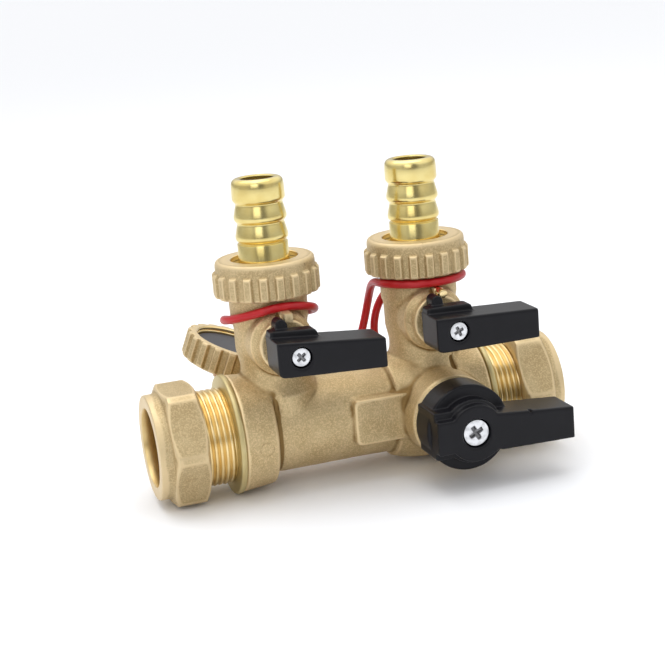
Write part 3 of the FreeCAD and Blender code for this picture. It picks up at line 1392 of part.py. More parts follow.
def check_and_write(made):
    """Stops at any failed object or bad shape, then writes one file for each sub-part."""
    doc.recompute()
    for thing in doc.Objects:
        if {"Invalid", "Error"} & set(thing.State):
            raise RuntimeError(f"{thing.Name} failed: {thing.State}")
    for part in made:
        if part.Shape.isNull() or not part.Shape.isValid() or not part.Shape.Solids:
            raise RuntimeError(f"{part.Label} has no good shape")
    os.makedirs("parts", exist_ok=True)
    for part in made:
        part.Shape.exportStep(f"parts/{part.Label}.step")
    print(len(made), "sub-parts written")


check_and_write(make_all())
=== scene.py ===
"""Dresses the fill and flush valve: castings, turned brass, plastic levers, screws and red cords."""
import json
import math

import bmesh
import bpy
import numpy as np
from bpy.props import FloatProperty, FloatVectorProperty, IntProperty, PointerProperty
from bpy.types import Operator, Panel, PropertyGroup
from mathutils import Matrix, Vector, noise

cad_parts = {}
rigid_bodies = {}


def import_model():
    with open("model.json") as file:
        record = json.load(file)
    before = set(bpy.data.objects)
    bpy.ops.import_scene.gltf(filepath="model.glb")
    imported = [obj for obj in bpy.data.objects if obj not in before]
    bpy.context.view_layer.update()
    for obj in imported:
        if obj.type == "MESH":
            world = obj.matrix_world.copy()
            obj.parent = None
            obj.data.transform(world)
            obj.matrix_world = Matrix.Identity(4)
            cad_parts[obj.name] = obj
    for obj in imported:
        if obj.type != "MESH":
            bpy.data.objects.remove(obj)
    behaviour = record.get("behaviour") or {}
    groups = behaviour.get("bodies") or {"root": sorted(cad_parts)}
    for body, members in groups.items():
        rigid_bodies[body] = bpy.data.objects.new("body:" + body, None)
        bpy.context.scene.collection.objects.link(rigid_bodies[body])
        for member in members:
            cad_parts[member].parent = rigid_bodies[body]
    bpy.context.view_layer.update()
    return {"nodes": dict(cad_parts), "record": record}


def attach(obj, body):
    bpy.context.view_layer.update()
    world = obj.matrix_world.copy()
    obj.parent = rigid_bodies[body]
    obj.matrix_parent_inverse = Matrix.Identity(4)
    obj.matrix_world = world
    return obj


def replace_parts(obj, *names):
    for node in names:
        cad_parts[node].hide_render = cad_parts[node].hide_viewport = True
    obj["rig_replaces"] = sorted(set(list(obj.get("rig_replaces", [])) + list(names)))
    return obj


bl_info = {
    "name": "Fill and Flush Valve",
    "version": (1, 0, 0),
    "blender": (4, 5, 0),
    "location": "View3D > Sidebar > Valve",
    "description": "Dresses the packed fill and flush valve and its studio",
    "category": "Object",
}

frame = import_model()
MM = 0.001
SLOTS = {entry["node"]: entry["material_slot"] for entry in frame["record"]["subparts"]}
BODIES = {node: body for body, nodes in frame["record"]["behaviour"]["bodies"].items() for node in nodes}


# Materials

class Value:
    """A socket of a graph's nodes that Python's own operators work on."""

    def __init__(self, graph, socket):
        self.graph = graph
        self.socket = socket

    def math(self, operation, *others, clamp=False):
        settings = {"operation": operation, "use_clamp": clamp}
        return self.graph.node("ShaderNodeMath", settings, dict(enumerate((self, *others))))

    def __add__(self, other):
        return self.math("ADD", other)

    def __sub__(self, other):
        return self.math("SUBTRACT", other)

    def __rsub__(self, other):
        return self * -1.0 + other

    def __mul__(self, other):
        return self.math("MULTIPLY", other)

    __radd__ = __add__
    __rmul__ = __mul__

    def clamped(self):
        return self.math("ADD", 0.0, clamp=True)

    def between(self, low, high):
        """0 below low, 1 above high and a smooth rise between them."""
        settings = {"interpolation_type": "SMOOTHSTEP"}
        inputs = {"Value": self, "From Min": low, "From Max": high}
        return self.graph.node("ShaderNodeMapRange", settings, inputs)


class Graph:
    """The nodes of a material or a world."""

    def __init__(self, tree):
        self.nodes = tree.nodes
        self.links = tree.links

    def node(self, kind, settings=None, inputs=None, output=0):
        """Adds any other node: its settings first, then the values or links of its sockets."""
        made = self.nodes.new(kind)
        for key, value in (settings or {}).items():
            setattr(made, key, value)
        for key, value in (inputs or {}).items():
            if isinstance(value, Value):
                self.links.new(value.socket, made.inputs[key])
            else:
                made.inputs[key].default_value = value
        return Value(self, made.outputs[output])


class Finish(Graph):
    """A material under construction: one shader and the nodes that feed it."""

    def __init__(self, name):
        self.material = bpy.data.materials.new(name)
        self.material.use_nodes = True
        super().__init__(self.material.node_tree)
        self.shader = self.nodes["Principled BSDF"]

    def place(self, scale=(1.0, 1.0, 1.0)):
        """Where a point is in millimetres, stretched by scale."""
        spot = self.node("ShaderNodeTexCoord", output=3)
        size = tuple(1000.0 * s for s in scale)
        return self.node("ShaderNodeVectorMath", {"operation": "MULTIPLY"}, {0: spot, 1: size})

    def speckle(self, size, detail=2.0, spot=None, rough=0.5):
        """Soft noise whose lumps are about size millimetres across."""
        inputs = {"Vector": spot or self.place(), "Scale": 1.0 / size, "Detail": detail, "Roughness": rough}
        return self.node("ShaderNodeTexNoise", None, inputs)

    def wear_and_shade(self):
        """How far a point stands out of its neighbours, as stored on the mesh: above 0 on worn edges, below 0
        in creases, where shade is painted.
        """
        return self.node("ShaderNodeAttribute", {"attribute_name": "wear_and_shade"}, output=2)

    def mix(self, factor, first, second):
        """A colour between two colours, each a socket or three numbers."""
        first, second = (c if isinstance(c, Value) else (*c, 1.0) for c in (first, second))
        inputs = {0: factor, 6: first, 7: second}
        return self.node("ShaderNodeMix", {"data_type": "RGBA"}, inputs, output=2)

    def bump(self, height, distance):
        """A normal from a height in units of distance millimetres."""
        return self.node("ShaderNodeBump", None, {"Height": height, "Distance": distance * MM})

    def set(self, **values):
        """Puts values or links on the shader's own sockets."""
        for key, value in values.items():
            name = key.replace("_", " ").title().replace("Ior", "IOR")
            socket = self.shader.inputs[name]
            if isinstance(value, Value):
                self.links.new(value.socket, socket)
            elif name == "Base Color":
                socket.default_value = (*value, 1.0)
            else:
                socket.default_value = value


# Factors on the red, green and blue of a brass colour
DARK_PATCH = (0.80, 0.76, 0.68)
WORN_EDGE = (1.34, 1.35, 1.42)
# The crease factors give painted shade in creases, and the tone of the pits.
CREASE_SHADE_AND_PITS = (0.42, 0.33, 0.2)
PATINA = (0.3, 0.46, 0.8)
RING_SHADOW = (0.35, 0.35, 0.35)


def tinted(colour, factors):
    """A colour with each of its parts multiplied by its own factor."""
    return tuple(min(1.0, c * f) for c, f in zip(colour, factors))


def cast_brass(name, colour, grain):
    """Shot-blasted brass: fine grain, softly mottled, paler on worn edges, with painted shade in creases and
    dark pits.
    """
    finish = Finish(name)
    fine = finish.speckle(grain)
    coarse = finish.speckle(grain * 1.7, 3.0)
    patches = finish.speckle(8.0)
    pits = finish.speckle(1.7, 3.0, rough=0.62).between(0.715, 0.74)
    wear_and_shade = finish.wear_and_shade()
    dark = tinted(colour, DARK_PATCH)
    pale = tinted(colour, WORN_EDGE)
    crease = tinted(colour, CREASE_SHADE_AND_PITS)
    base = finish.mix(patches.between(0.3, 0.72), dark, colour)
    base = finish.mix(fine.between(0.44, 0.62) * 0.6, base, pale)
    base = finish.mix(coarse.between(0.52, 0.66) * 0.6, base, dark)
    base = finish.mix((wear_and_shade + fine * 0.1).between(0.16, 0.55) * 0.85, base, pale)
    # Painted shade: the crease colour where a point lies in a crease.
    base = finish.mix((wear_and_shade * -1.0 + fine * 0.08).between(0.14, 0.55), base, crease)
    base = finish.mix(pits * 0.6, base, crease)
    height = fine * 0.55 + coarse * 0.45 - pits * 0.8
    roughness = 0.5 + 0.12 * fine.between(0.35, 0.7) - 0.12 * wear_and_shade.clamped()
    finish.set(base_color=base, metallic=0.72, roughness=roughness, normal=finish.bump(height, 0.13))
    return finish.material


def turned_brass(name, colour, axis, roughness=0.2, deep=0.5):
    """Bright brass with the fine rings that a lathe leaves round its axis, and painted shade in its creases.
    """
    finish = Finish(name)
    stretch = tuple(9.0 if k == axis else 0.06 for k in range(3))
    rings = finish.speckle(1.0, 3.0, finish.place(stretch))
    patches = finish.speckle(5.0)
    darker = tinted(colour, (1.0 - deep * f for f in PATINA))
    base = finish.mix(patches.between(0.35, 0.7) * 0.6 + rings * 0.3, colour, darker)
    # Painted shade: darker where a point lies in a crease.
    base = finish.mix((finish.wear_and_shade() * -1.0).between(0.15, 0.7), base, tinted(darker, RING_SHADOW))
    roughness = roughness + 0.06 * rings
    finish.set(base_color=base, metallic=1.0, roughness=roughness, normal=finish.bump(rings, 0.002))
    return finish.material


def moulded(name, colour, roughness, grain=0.35, depth=0.02, gloss=0.35, coat=0.0):
    """Moulded plastic or rubber with a fine even grain."""
    finish = Finish(name)
    fine = finish.speckle(grain)
    cloud = finish.speckle(6.0)
    lighter = tuple(c * 1.3 + 0.001 for c in colour)
    base = finish.mix(cloud.between(0.35, 0.75) * 0.5, colour, lighter)
    finish.set(
        base_color=base, roughness=roughness + 0.1 * fine, normal=finish.bump(fine, depth),
        specular_ior_level=gloss, coat_weight=coat,
    )
    return finish.material


def plated(name, colour, roughness):
    """Zinc or chrome plating, faintly clouded."""
    finish = Finish(name)
    cloud = finish.speckle(1.6, 3.0)
    darker = tuple(c * 0.72 for c in colour)
    base = finish.mix(cloud.between(0.4, 0.7), colour, darker)
    roughness = roughness + 0.1 * cloud
    finish.set(
        base_color=base, metallic=1.0, roughness=roughness, normal=finish.bump(finish.speckle(0.4), 0.008),
    )
    return finish.material


def paint(thing, *materials):
    """Gives a piece its materials; a piece made here keeps the slots that its faces name."""
    if len(thing.data.materials):
        thing.data.materials.clear()
    for material in materials:
        thing.data.materials.append(material)


# Forms made in mesh code

def smooth_min(a, b, soft):
    """The smaller of two lengths, with their meeting rounded over soft."""
    share = max(soft - abs(a - b), 0.0) / soft
    return min(a, b) - share * share * soft * 0.25


def smooth_step(low, high, value):
    """0 below low, 1 above high and a smooth rise between them."""
    t = min(max((value - low) / (high - low), 0.0), 1.0)
    return t * t * (3 - 2 * t)


def band(form, first, second, count):
    """The faces between two rings of points, either of which may be a single point."""
    for k in range(count):
        after = (k + 1) % count
        corners = dict.fromkeys((
            first[k % len(first)], first[after % len(first)],
            second[after % len(second)], second[k % len(second)],
        ))
        if len(corners) > 2:
            yield form.faces.new(list(corners))


def from_rows(name, rows, angles, place, closed=True):
    """A mesh from rows round an axis.

    Each row is (height, radius) or (height, radius, finish): radius is a length or a function of the angle,
    and finish the material index of the faces from that row to the next. place turns the piece's own frame,
    in millimetres and with +Z as its axis, into the row's frame.
    """
    mesh = bpy.data.meshes.new(name)
    form = bmesh.new()
    loops = []
    for height, radius, *_ in rows:
        if radius == 0:
            loops.append([form.verts.new(place @ Vector((0, 0, height)))])
            continue
        ring = []
        for angle in angles:
            r = radius(angle) if callable(radius) else radius
            ring.append(form.verts.new(place @ Vector((r * math.cos(angle), r * math.sin(angle), height))))
        loops.append(ring)
    pairs = list(zip(loops, loops[1:], rows))
    if closed:
        pairs.append((loops[-1], loops[0], rows[-1]))
    for first, second, row in pairs:
        for face in band(form, first, second, len(angles)):
            face.material_index = row[2] if len(row) > 2 else 0
    bmesh.ops.recalc_face_normals(form, faces=form.faces)
    form.to_mesh(mesh)
    form.free()
    mark_wear_and_shade(mesh, 0, 6.0, 0.15)
    shade(mesh, 32)
    return put(name, mesh)


def points_of(mesh):
    """Where a mesh's points are, in metres."""
    flat = np.empty(len(mesh.vertices) * 3)
    mesh.vertices.foreach_get("co", flat)
    return flat.reshape(-1, 3)


def move_points(mesh, points):
    """Puts a mesh's points at new places, given in millimetres."""
    mesh.vertices.foreach_set("co", (points * MM).ravel())
    mesh.update()


def normals_of(mesh):
    """The normals at a mesh's points."""
    flat = np.empty(len(mesh.vertices) * 3)
    mesh.vertex_normals.foreach_get("vector", flat)
    return flat.reshape(-1, 3)


def edge_ends(mesh):
    """The numbers of the points at both ends of each edge."""
    flat = np.empty(len(mesh.edges) * 2, np.int64)
    mesh.edges.foreach_get("vertices", flat)
    return flat.reshape(-1, 2).T


def fade(depth, width):
    """0 up to an edge, rising to 1 over a width past it."""
    return np.clip(depth / width, 0.0, 1.0)


def around(ends, values):
    """For each point, the sum of its neighbours' values."""
    a, b = ends
    return np.bincount(a, values[b], len(values)) + np.bincount(b, values[a], len(values))


def mark_wear_and_shade(mesh, passes, strength, deepest, painted_shade=0.0):
    """Stores how far each point stands out of its neighbours: 1 on a sharp edge, less than 0 in a crease,
    where the materials paint shade; the last argument lowers it further for more painted shade.
    """
    points = points_of(mesh)
    normals = normals_of(mesh)
    ends = edge_ends(mesh)
    count = len(points)
    a, b = ends
    way = points[b] - points[a]
    way /= np.maximum(np.linalg.norm(way, axis=1), 1e-9)[:, None]
    degree = np.maximum(around(ends, np.ones(count)), 1)
    first, second = (way * normals[a]).sum(1), (way * normals[b]).sum(1)
    wear_and_shade = (np.bincount(a, -first, count) + np.bincount(b, second, count)) / degree
    for turn in range(passes):
        wear_and_shade = 0.5 * wear_and_shade + 0.5 * around(ends, wear_and_shade) / degree
    wear_and_shade = np.clip(wear_and_shade * strength - painted_shade, -deepest, 1.0)
    layer = mesh.attributes.get("wear_and_shade") or mesh.attributes.new("wear_and_shade", "FLOAT", "POINT")
    layer.data.foreach_set("value", wear_and_shade.astype(np.float32))


def shade(mesh, crease):
    """Smooth shading, but for edges that bend by more than crease degrees."""
    for face in mesh.polygons:
        face.use_smooth = True
    mesh.set_sharp_from_angle(angle=math.radians(crease))


def put(name, data):
    """A new object in the scene."""
    made = bpy.data.objects.new(name, data)
    bpy.context.scene.collection.objects.link(made)
    return made


def stand_for(piece, node):
    """The piece takes its node's body and place in the tables."""
    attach(piece, BODIES[node])
    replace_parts(piece, node)


def gridded(context, source, name, size):
    """A copy of a piece whose surface is made of small even squares."""
    copy = put(name, source.data.copy())
    grid = copy.modifiers.new("grid", "REMESH")
    grid.mode = "VOXEL"
    grid.voxel_size = size
    context.view_layer.update()
    shown = copy.evaluated_get(context.evaluated_depsgraph_get())
    mesh = bpy.data.meshes.new_from_object(shown)
    copy.modifiers.remove(grid)
    copy.data = mesh
    return copy


# Settings

LENGTH = {"unit": "LENGTH", "precision": 5}
COLOUR = {"subtype": "COLOR", "min": 0.0, "max": 1.0}


class ValveForms(PropertyGroup):
    """Sizes of the details that are modelled here."""

    thread_pitch: FloatProperty(
        name="Thread Pitch", description="Distance between the crests of the ports' threads",
        default=0.0016, min=0.0005, max=0.004, **LENGTH,
    )
    thread_depth: FloatProperty(
        name="Thread Depth", description="Height of those crests", default=0.0008,
        min=0.0001, max=0.002, **LENGTH,
    )
    nut_rounding: FloatProperty(
        name="Nut Rounding", description="Rounded edges of the compression nuts", default=0.00045,
        min=0.00005, max=0.002, **LENGTH,
    )
    lever_grid: FloatProperty(
        name="Lever Grid", description="Size of the grid that the soft-edged levers are made on",
        default=0.00022, min=0.0001, max=0.002, **LENGTH,
    )
    casting_voxel: FloatProperty(
        name="Casting Grid", description="Size of the grid that the cast body is made on",
        default=0.0004, min=0.0002, max=0.002, **LENGTH,
    )
    casting_passes: IntProperty(
        name="Casting Blend", description="Passes that soften the cast body's inner corners",
        default=14, min=0, max=400,
    )


class ValveFinishes(PropertyGroup):
    """Colours and grain of the valve's surfaces."""

    casting: FloatVectorProperty(
        name="Casting", description="Colour of the blasted castings",
        default=(0.60, 0.47, 0.262), **COLOUR,
    )
    turned: FloatVectorProperty(
        name="Turned Brass", description="Colour of turned and threaded brass",
        default=(0.92, 0.74, 0.41), **COLOUR,
    )
    tail: FloatVectorProperty(
        name="Hose Tails", description="Colour of the polished hose tails",
        default=(0.80, 0.68, 0.30), **COLOUR,
    )
    levers: FloatVectorProperty(
        name="Levers", description="Colour of the plastic levers",
        default=(0.006, 0.006, 0.008), **COLOUR,
    )
    cords: FloatVectorProperty(
        name="Cords", description="Colour of the cap cords",
        default=(0.44, 0.006, 0.011), **COLOUR,
    )
    grain: FloatProperty(
        name="Casting Grain", description="Size of the blasted grain", default=0.00042,
        min=0.0001, max=0.002, **LENGTH,
    )


class ValveStudio(PropertyGroup):
    """Floor, lamps and camera."""

    floor: FloatVectorProperty(
        name="Floor", description="Colour of the floor",
        default=(0.90, 0.91, 0.935), **COLOUR,
    )
    floor_height: FloatProperty(
        name="Floor Height", description="Height of the floor below the run's axis",
        default=-0.01725, **LENGTH,
    )
    zenith: FloatProperty(name="Zenith", description="Brightness of the tent above", default=1.2, min=0.0)
    horizon: FloatProperty(name="Horizon", description="Brightness of its lower edge", default=0.5, min=0.0)
    opening: FloatProperty(
        name="Opening", description="Darkness of the tent's opening in front", default=0.8, min=0.0, max=1.0,
    )
    key_power: FloatProperty(name="Key Lamp", description="Lamp above", default=3.2, unit="POWER")
    front_power: FloatProperty(name="Front Lamp", description="Lamp in front", default=1.4, unit="POWER")
    lens: FloatProperty(name="Lens", description="Focal length", default=78.88, unit="CAMERA")


# Stage, in metres

CAMERA_PLACE = (-0.063212, -0.388810, 0.128337)
CAMERA_RIGHT = (0.94624059, -0.31284154, -0.08221264)
CAMERA_DOWN = (-0.15336632, -0.21013689, -0.96556784)
CAMERA_FORWARD = (0.28479383, 0.92626813, -0.24681941)
MIDDLE = (0.06, 0.0, 0.02)
FLOOR_RADIUS = 30.0
KEY_PLACE = (0.0, 0.15, 0.85)
KEY_WIDTH = 0.9
FRONT_PLACE = (-0.35, -0.75, 0.45)
FRONT_WIDTH = 0.5

# The way to the middle of the tent's opening, and where its dark starts and is full
OPENING = (-0.30, -0.92, 0.25)
OPENING_EDGE = (0.72, 0.97)


def lamp(name, place, width, power):
    """A square area lamp that points at the middle of the stage."""
    data = bpy.data.lights.new(name, "AREA")
    data.size = width
    data.energy = power
    made = put(name, data)
    made.location = place
    made.rotation_euler = (Vector(MIDDLE) - Vector(place)).to_track_quat("-Z", "Y").to_euler()


class VALVE_OT_stage(Operator):
    """Makes the camera, the lamps, the pale floor and the world"""

    bl_idname = "valve.stage"
    bl_label = "Stage"

    def execute(self, context):
        studio = context.scene.valve_studio
        data = bpy.data.cameras.new("camera")
        data.sensor_width = 36.0
        data.lens = studio.lens
        data.clip_start, data.clip_end = 0.01, 80.0
        camera = put("camera", data)
        rows = (CAMERA_RIGHT, [-c for c in CAMERA_DOWN], [-c for c in CAMERA_FORWARD])
        turned = Matrix(rows).transposed().to_4x4()
        camera.matrix_world = Matrix.Translation(CAMERA_PLACE) @ turned
        context.scene.camera = camera
        self.make_floor(context, studio)
        self.make_world(context, studio)
        lamp("lamp_key", KEY_PLACE, KEY_WIDTH, studio.key_power)
        lamp("lamp_front", FRONT_PLACE, FRONT_WIDTH, studio.front_power)
        context.scene.view_settings.view_transform = "Standard"
        return {"FINISHED"}

    def make_floor(self, context, studio):
        mesh = bpy.data.meshes.new("floor")
        form = bmesh.new()
        bmesh.ops.create_circle(form, cap_ends=True, segments=128, radius=FLOOR_RADIUS)
        form.to_mesh(mesh)
        form.free()
        floor = put("floor", mesh)
        floor.location = (MIDDLE[0], MIDDLE[1], studio.floor_height)
        finish = Finish("floor")
        finish.set(base_color=studio.floor, roughness=0.9, specular_ior_level=0.1)
        paint(floor, finish.material)

    def make_world(self, context, studio):
        """A white tent: brightest above, greyer at the horizon, with the opening for the camera in front."""
        world = bpy.data.worlds.new("studio")
        world.use_nodes = True
        sky = Graph(world.node_tree)
        way = sky.node("ShaderNodeTexCoord")
        height = sky.node("ShaderNodeSeparateXYZ", None, {0: way}, output=2)
        front = sky.node("ShaderNodeVectorMath", {"operation": "DOT_PRODUCT"}, {0: way, 1: OPENING}, output=1)
        level = studio.horizon + (studio.zenith - studio.horizon) * height.between(0.0, 0.6)
        level = level * (1.0 - studio.opening * front.between(*OPENING_EDGE))
        backdrop = sky.nodes["Background"]
        backdrop.inputs["Color"].default_value = (1.0, 1.0, 1.0, 1.0)
        sky.links.new(level.socket, backdrop.inputs["Strength"])
        context.scene.world = world


# Places, in millimetres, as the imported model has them

RUN_LENGTH = 122.0
STEM_HEIGHT = 27.1
PIVOTS = {"left": Vector((38.2, 0.0, STEM_HEIGHT)), "right": Vector((83.6, 0.0, STEM_HEIGHT))}
MAIN_PIVOT = Vector((83.6, 0.0, 0.0))
CAPS = {
    "left": (Vector((34.8, 29.8, 18.9)), Vector((0.359, -0.11, 0.927))),
    "right": (Vector((69.0, 35.0, 0.0)), Vector((0.1, 0.35, 0.93))),
}
NUT_FOOT = 39.6
CORD_RADIUS = 1.2

# The corner points of each cord, from its branch's pivot
CORDS = {
    "left": (
        (-4.1, 27.8, -19), (1, 21.7, -23.9), (7, 14.5, -20.1), (8, 11.2, -12.5), (4.8, 12.6, -5.1),
        (-3.3, 12.7, 1.1), (-11.4, 7.7, 4.7), (-13.7, -1.5, 6.3), (-8.9, -10.4, 8.7), (0, -13.7, 11),
        (9.9, -10.1, 8.9), (13.7, -0.2, 5.3), (9.9, 10.3, 2.6), (10.3, 14.5, -2.8), (12.9, 17, -12.4),
        (13.9, 23, -21.4), (6.5, 30.4, -24.2), (-2.8, 30.6, -19.1),
    ),
    "right": (
        (-17, 27.5, -34.8), (-19.8, 19.5, -32.7), (-20.2, 14, -25.7), (-16.6, 14.9, -16.1),
        (-12.3, 15.6, -5.1), (-11.1, 13, 3.4), (-12.4, 5, 9.9), (-12.5, -5.7, 10.8), (-4.7, -13, 10.8),
        (5.7, -12.6, 10.7), (12.8, -5.4, 10.3), (12.7, 5.4, 9.7), (5.2, 12.8, 8.5), (-4.6, 14.8, 4.8),
        (-8.9, 15.6, -2.5), (-9.2, 16.6, -11.9), (-2.2, 18.2, -22.1), (-4.6, 18.1, -31),
        (-10.5, 20.9, -34.9), (-14, 27.5, -35.1),
    ),
}
# Painted shade patches on the casting by the feet of the branches: middle, reach each way and depth
SHADE_PATCHES = (
    ((72.5, -12.0, 6.5), (3.0, 5.0, 3.5), 0.5),
    ((76.0, -11.5, 13.0), (2.5, 5.0, 3.0), 0.3),
    ((35.5, -9.5, 13.5), (3.5, 4.0, 2.5), 0.25),
)


def port_frame(side):
    """From a port's own frame, +Z going in from its mouth, to the row's frame in metres."""
    inward = Matrix(((0, 0, 1), (0, 1, 0), (-1, 0, 0))).to_4x4()
    if side == "right":
        inward = Matrix.Translation((RUN_LENGTH, 0, 0)) @ Matrix.Rotation(math.pi, 4, "Z") @ inward
    return Matrix.Scale(MM, 4) @ inward


def cap_frame(side):
    """From a cap's own frame, its rim at the origin and +Z out of its mouth, to the row's frame."""
    rim, mouth = CAPS[side]
    turned = Vector((0, 0, 1)).rotation_difference(mouth.normalized()).to_matrix().to_4x4()
    return Matrix.Scale(MM, 4) @ Matrix.Translation(rim) @ turned


# Pieces

class VALVE_OT_cords(Operator):
    """Makes the red cord from each cap's eye, round its branch's neck and back"""

    bl_idname = "valve.cords"
    bl_label = "Cords"

    def execute(self, context):
        for side, corners in CORDS.items():
            curve = bpy.data.curves.new(f"{side}_cord", "CURVE")
            curve.dimensions = "3D"
            curve.bevel_depth = 1.0
            curve.bevel_resolution = 5
            curve.resolution_u = 10
            curve.use_fill_caps = True
            line = curve.splines.new("NURBS")
            points = [(PIVOTS[side] + Vector(corner)) * MM for corner in corners]
            line.points.add(len(points) - 1)
            for point, place in zip(line.points, points):
                point.co = (*place, 1.0)
                point.radius = CORD_RADIUS * MM
            line.order_u = 3
            line.use_endpoint_u = True
            cord = put(f"{side}_cord", curve)
            stand_for(cord, f"{side}_cap_strap")
            tuple(points[0])
        return {"FINISHED"}


class VALVE_OT_compression_nuts(Operator):
    """Makes the two compression nuts: chamfered hexagon, round nose and turned bore"""

    bl_idname = "valve.compression_nuts"
    bl_label = "Compression Nuts"

    def execute(self, context):
        soft = context.scene.valve_forms.nut_rounding / MM
        offsets = (0, 8, 15, 20, 24, 26, 27.2, 28.6)
        sector = sorted({*offsets, *(-o for o in offsets)})
        angles = [math.radians(60 * k + o) for k in range(6) for o in sector]
        for side in PIVOTS:
            piece = from_rows(f"{side}_hexagon_nut", self.rows(soft), angles, port_frame(side))
            mark_wear_and_shade(piece.data, 2, 10.0, 0.15)
            stand_for(piece, f"{side}_compression_nut")
        return {"FINISHED"}

    def rows(self, soft):
        """From the bore out over the back face, the hexagon and the nose, and back into the mouth."""
        start, end = 3.7, 13.8
        flat, corner, corner_rounding, chamfer_slope = 16.0, 17.88, 0.25, 1.9
        bore, mouth = 11.15, 14.0
        # Faces inside take the nut's second material, a darker brass that paints shade into the bore.
        inside = 1

        def hexagon(height):
            chamfer = flat + chamfer_slope * min(height - start, end - height)

            def radius(angle):
                away = (math.degrees(angle) + 30.0) % 60.0 - 30.0
                edge = smooth_min(flat / math.cos(math.radians(away)), corner, corner_rounding)
                return smooth_min(edge, chamfer, soft)

            return radius

        rows = [(0.5, bore, inside), (3.2, bore, inside), (6.3, 12.7, inside), (6.3, mouth, inside)]
        rows += [(13.2, mouth, inside), (end, 14.5), (end, 15.2), (end - 0.05, 15.75)]
        steps = (0.15, 0.4, 0.7, 1.05, 1.4, 1.9, 2.8)
        rows += [(end - away, hexagon(end - away)) for away in steps]
        rows += [(start + away, hexagon(start + away)) for away in (5.0, *reversed(steps))]
        rows += [(start, 15.85), (start - 0.15, 15.5), (start - 0.45, 15.25)]
        rows += [(start - 0.85, 15.08), (start - 1.3, 15.0), (0.5, 15.0), (0.2, 14.9)]
        rows += [(0.04, 14.7), (0.0, 14.4), (0.0, 11.6), (0.1, 11.35, inside)]
        return rows


# The ports' adapters, from their mouths: the thread's ends and root, the pipe's socket and the olive's cone
THREAD_START = 7.5
THREAD_END = 21.9
THREAD_ROOT = 12.95
PIPE_SOCKET = 11.15
OLIVE_CONE = 12.7

# Each adapter's inner end: its bore, how deep it reaches, and where the pipe stops
ADAPTER_END = {"left": (9.5, 31.0, 26.0), "right": (11.55, 30.4, 25.2)}

# One turn of the thread: share of the pitch, and share of the depth there
THREAD_PROFILE = (
    (0.0, 0.0), (0.07, 0.08), (0.19, 0.7), (0.32, 0.94), (0.5, 1.0), (0.68, 0.94), (0.81, 0.7), (0.93, 0.08),
)


class VALVE_OT_adapters(Operator):
    """Makes the two end adapters: threaded spigot, machined rim and inner plug"""

    bl_idname = "valve.adapters"
    bl_label = "End Adapters"

    def execute(self, context):
        forms = context.scene.valve_forms
        angles = [math.radians(2.5 * k) for k in range(144)]
        for side in PIVOTS:
            place = port_frame(side)
            back, end, stop = ADAPTER_END[side]
            rows = [
                (THREAD_END, THREAD_ROOT), (22.0, THREAD_ROOT, 1), (22.0, 16.7, 1), (22.12, 17.02, 1),
                (22.4, 17.2, 1), (23.45, 17.2, 1), (23.66, 17.08, 1), (23.78, 16.8, 1), (23.78, 13.9),
                (end, 13.9), (end, back),
            ]
            if side == "right":
                rows += [(26.4, back), (26.4, 9.5)]
            rows += [(stop, 9.5), (stop, PIPE_SOCKET), (10.6, PIPE_SOCKET)]
            rows += [(THREAD_START, OLIVE_CONE), (THREAD_START, THREAD_ROOT)]
            piece = from_rows(f"{side}_threaded_end", rows, angles, place, closed=False)
            self.cut_thread(piece.data, angles, place, forms)
            stand_for(piece, f"{side}_end_adapter")
        return {"FINISHED"}

    def cut_thread(self, mesh, angles, place, forms):
        """Adds the helical thread between the spigot's end and the run-out groove."""
        start, end = THREAD_START, THREAD_END
        pitch = forms.thread_pitch / MM
        depth = forms.thread_depth / MM
        run_in, run_out = 1.0, 0.5
        form = bmesh.new()
        form.from_mesh(mesh)
        turns = int((end - start) / pitch) + 2
        steps = [(turn + at, rise) for turn in range(-1, turns) for at, rise in THREAD_PROFILE]
        count = len(angles)
        columns = []
        for k in range(count + 1):
            angle = angles[k % count]
            ring = []
            for at, rise in steps:
                height = start + pitch * (at + k / count)
                room = smooth_step(start, start + run_in, height)
                room = min(room, 1 - smooth_step(end - run_out, end, height))
                r = THREAD_ROOT + depth * rise * room
                clamped = min(max(height, start), end)
                spot = Vector((r * math.cos(angle), r * math.sin(angle), clamped))
                ring.append(form.verts.new(place @ spot))
            columns.append(ring)
        for first, second in zip(columns, columns[1:]):
            for corners in zip(first, first[1:], second[1:], second):
                form.faces.new(corners)
        bmesh.ops.remove_doubles(form, verts=form.verts, dist=0.004 * MM)
        bmesh.ops.dissolve_degenerate(form, dist=0.002 * MM, edges=form.edges)
        bmesh.ops.recalc_face_normals(form, faces=form.faces)
        form.to_mesh(mesh)
        form.free()
        shade(mesh, 50)


# The ribbed band of the union nuts and caps: ribs all round, the band's radius, and a rib's top and foot,
# in degrees from its middle
RIB_COUNT = 20
RIB_PITCH = 18.0
BAND = 14.1
RIB_TOP = 3.4
RIB_FOOT = 6.2
RIB_TURN = {"left": 0.0, "right": -6.0}

# The bore that both have inside
GRIP_BORE = 12.1


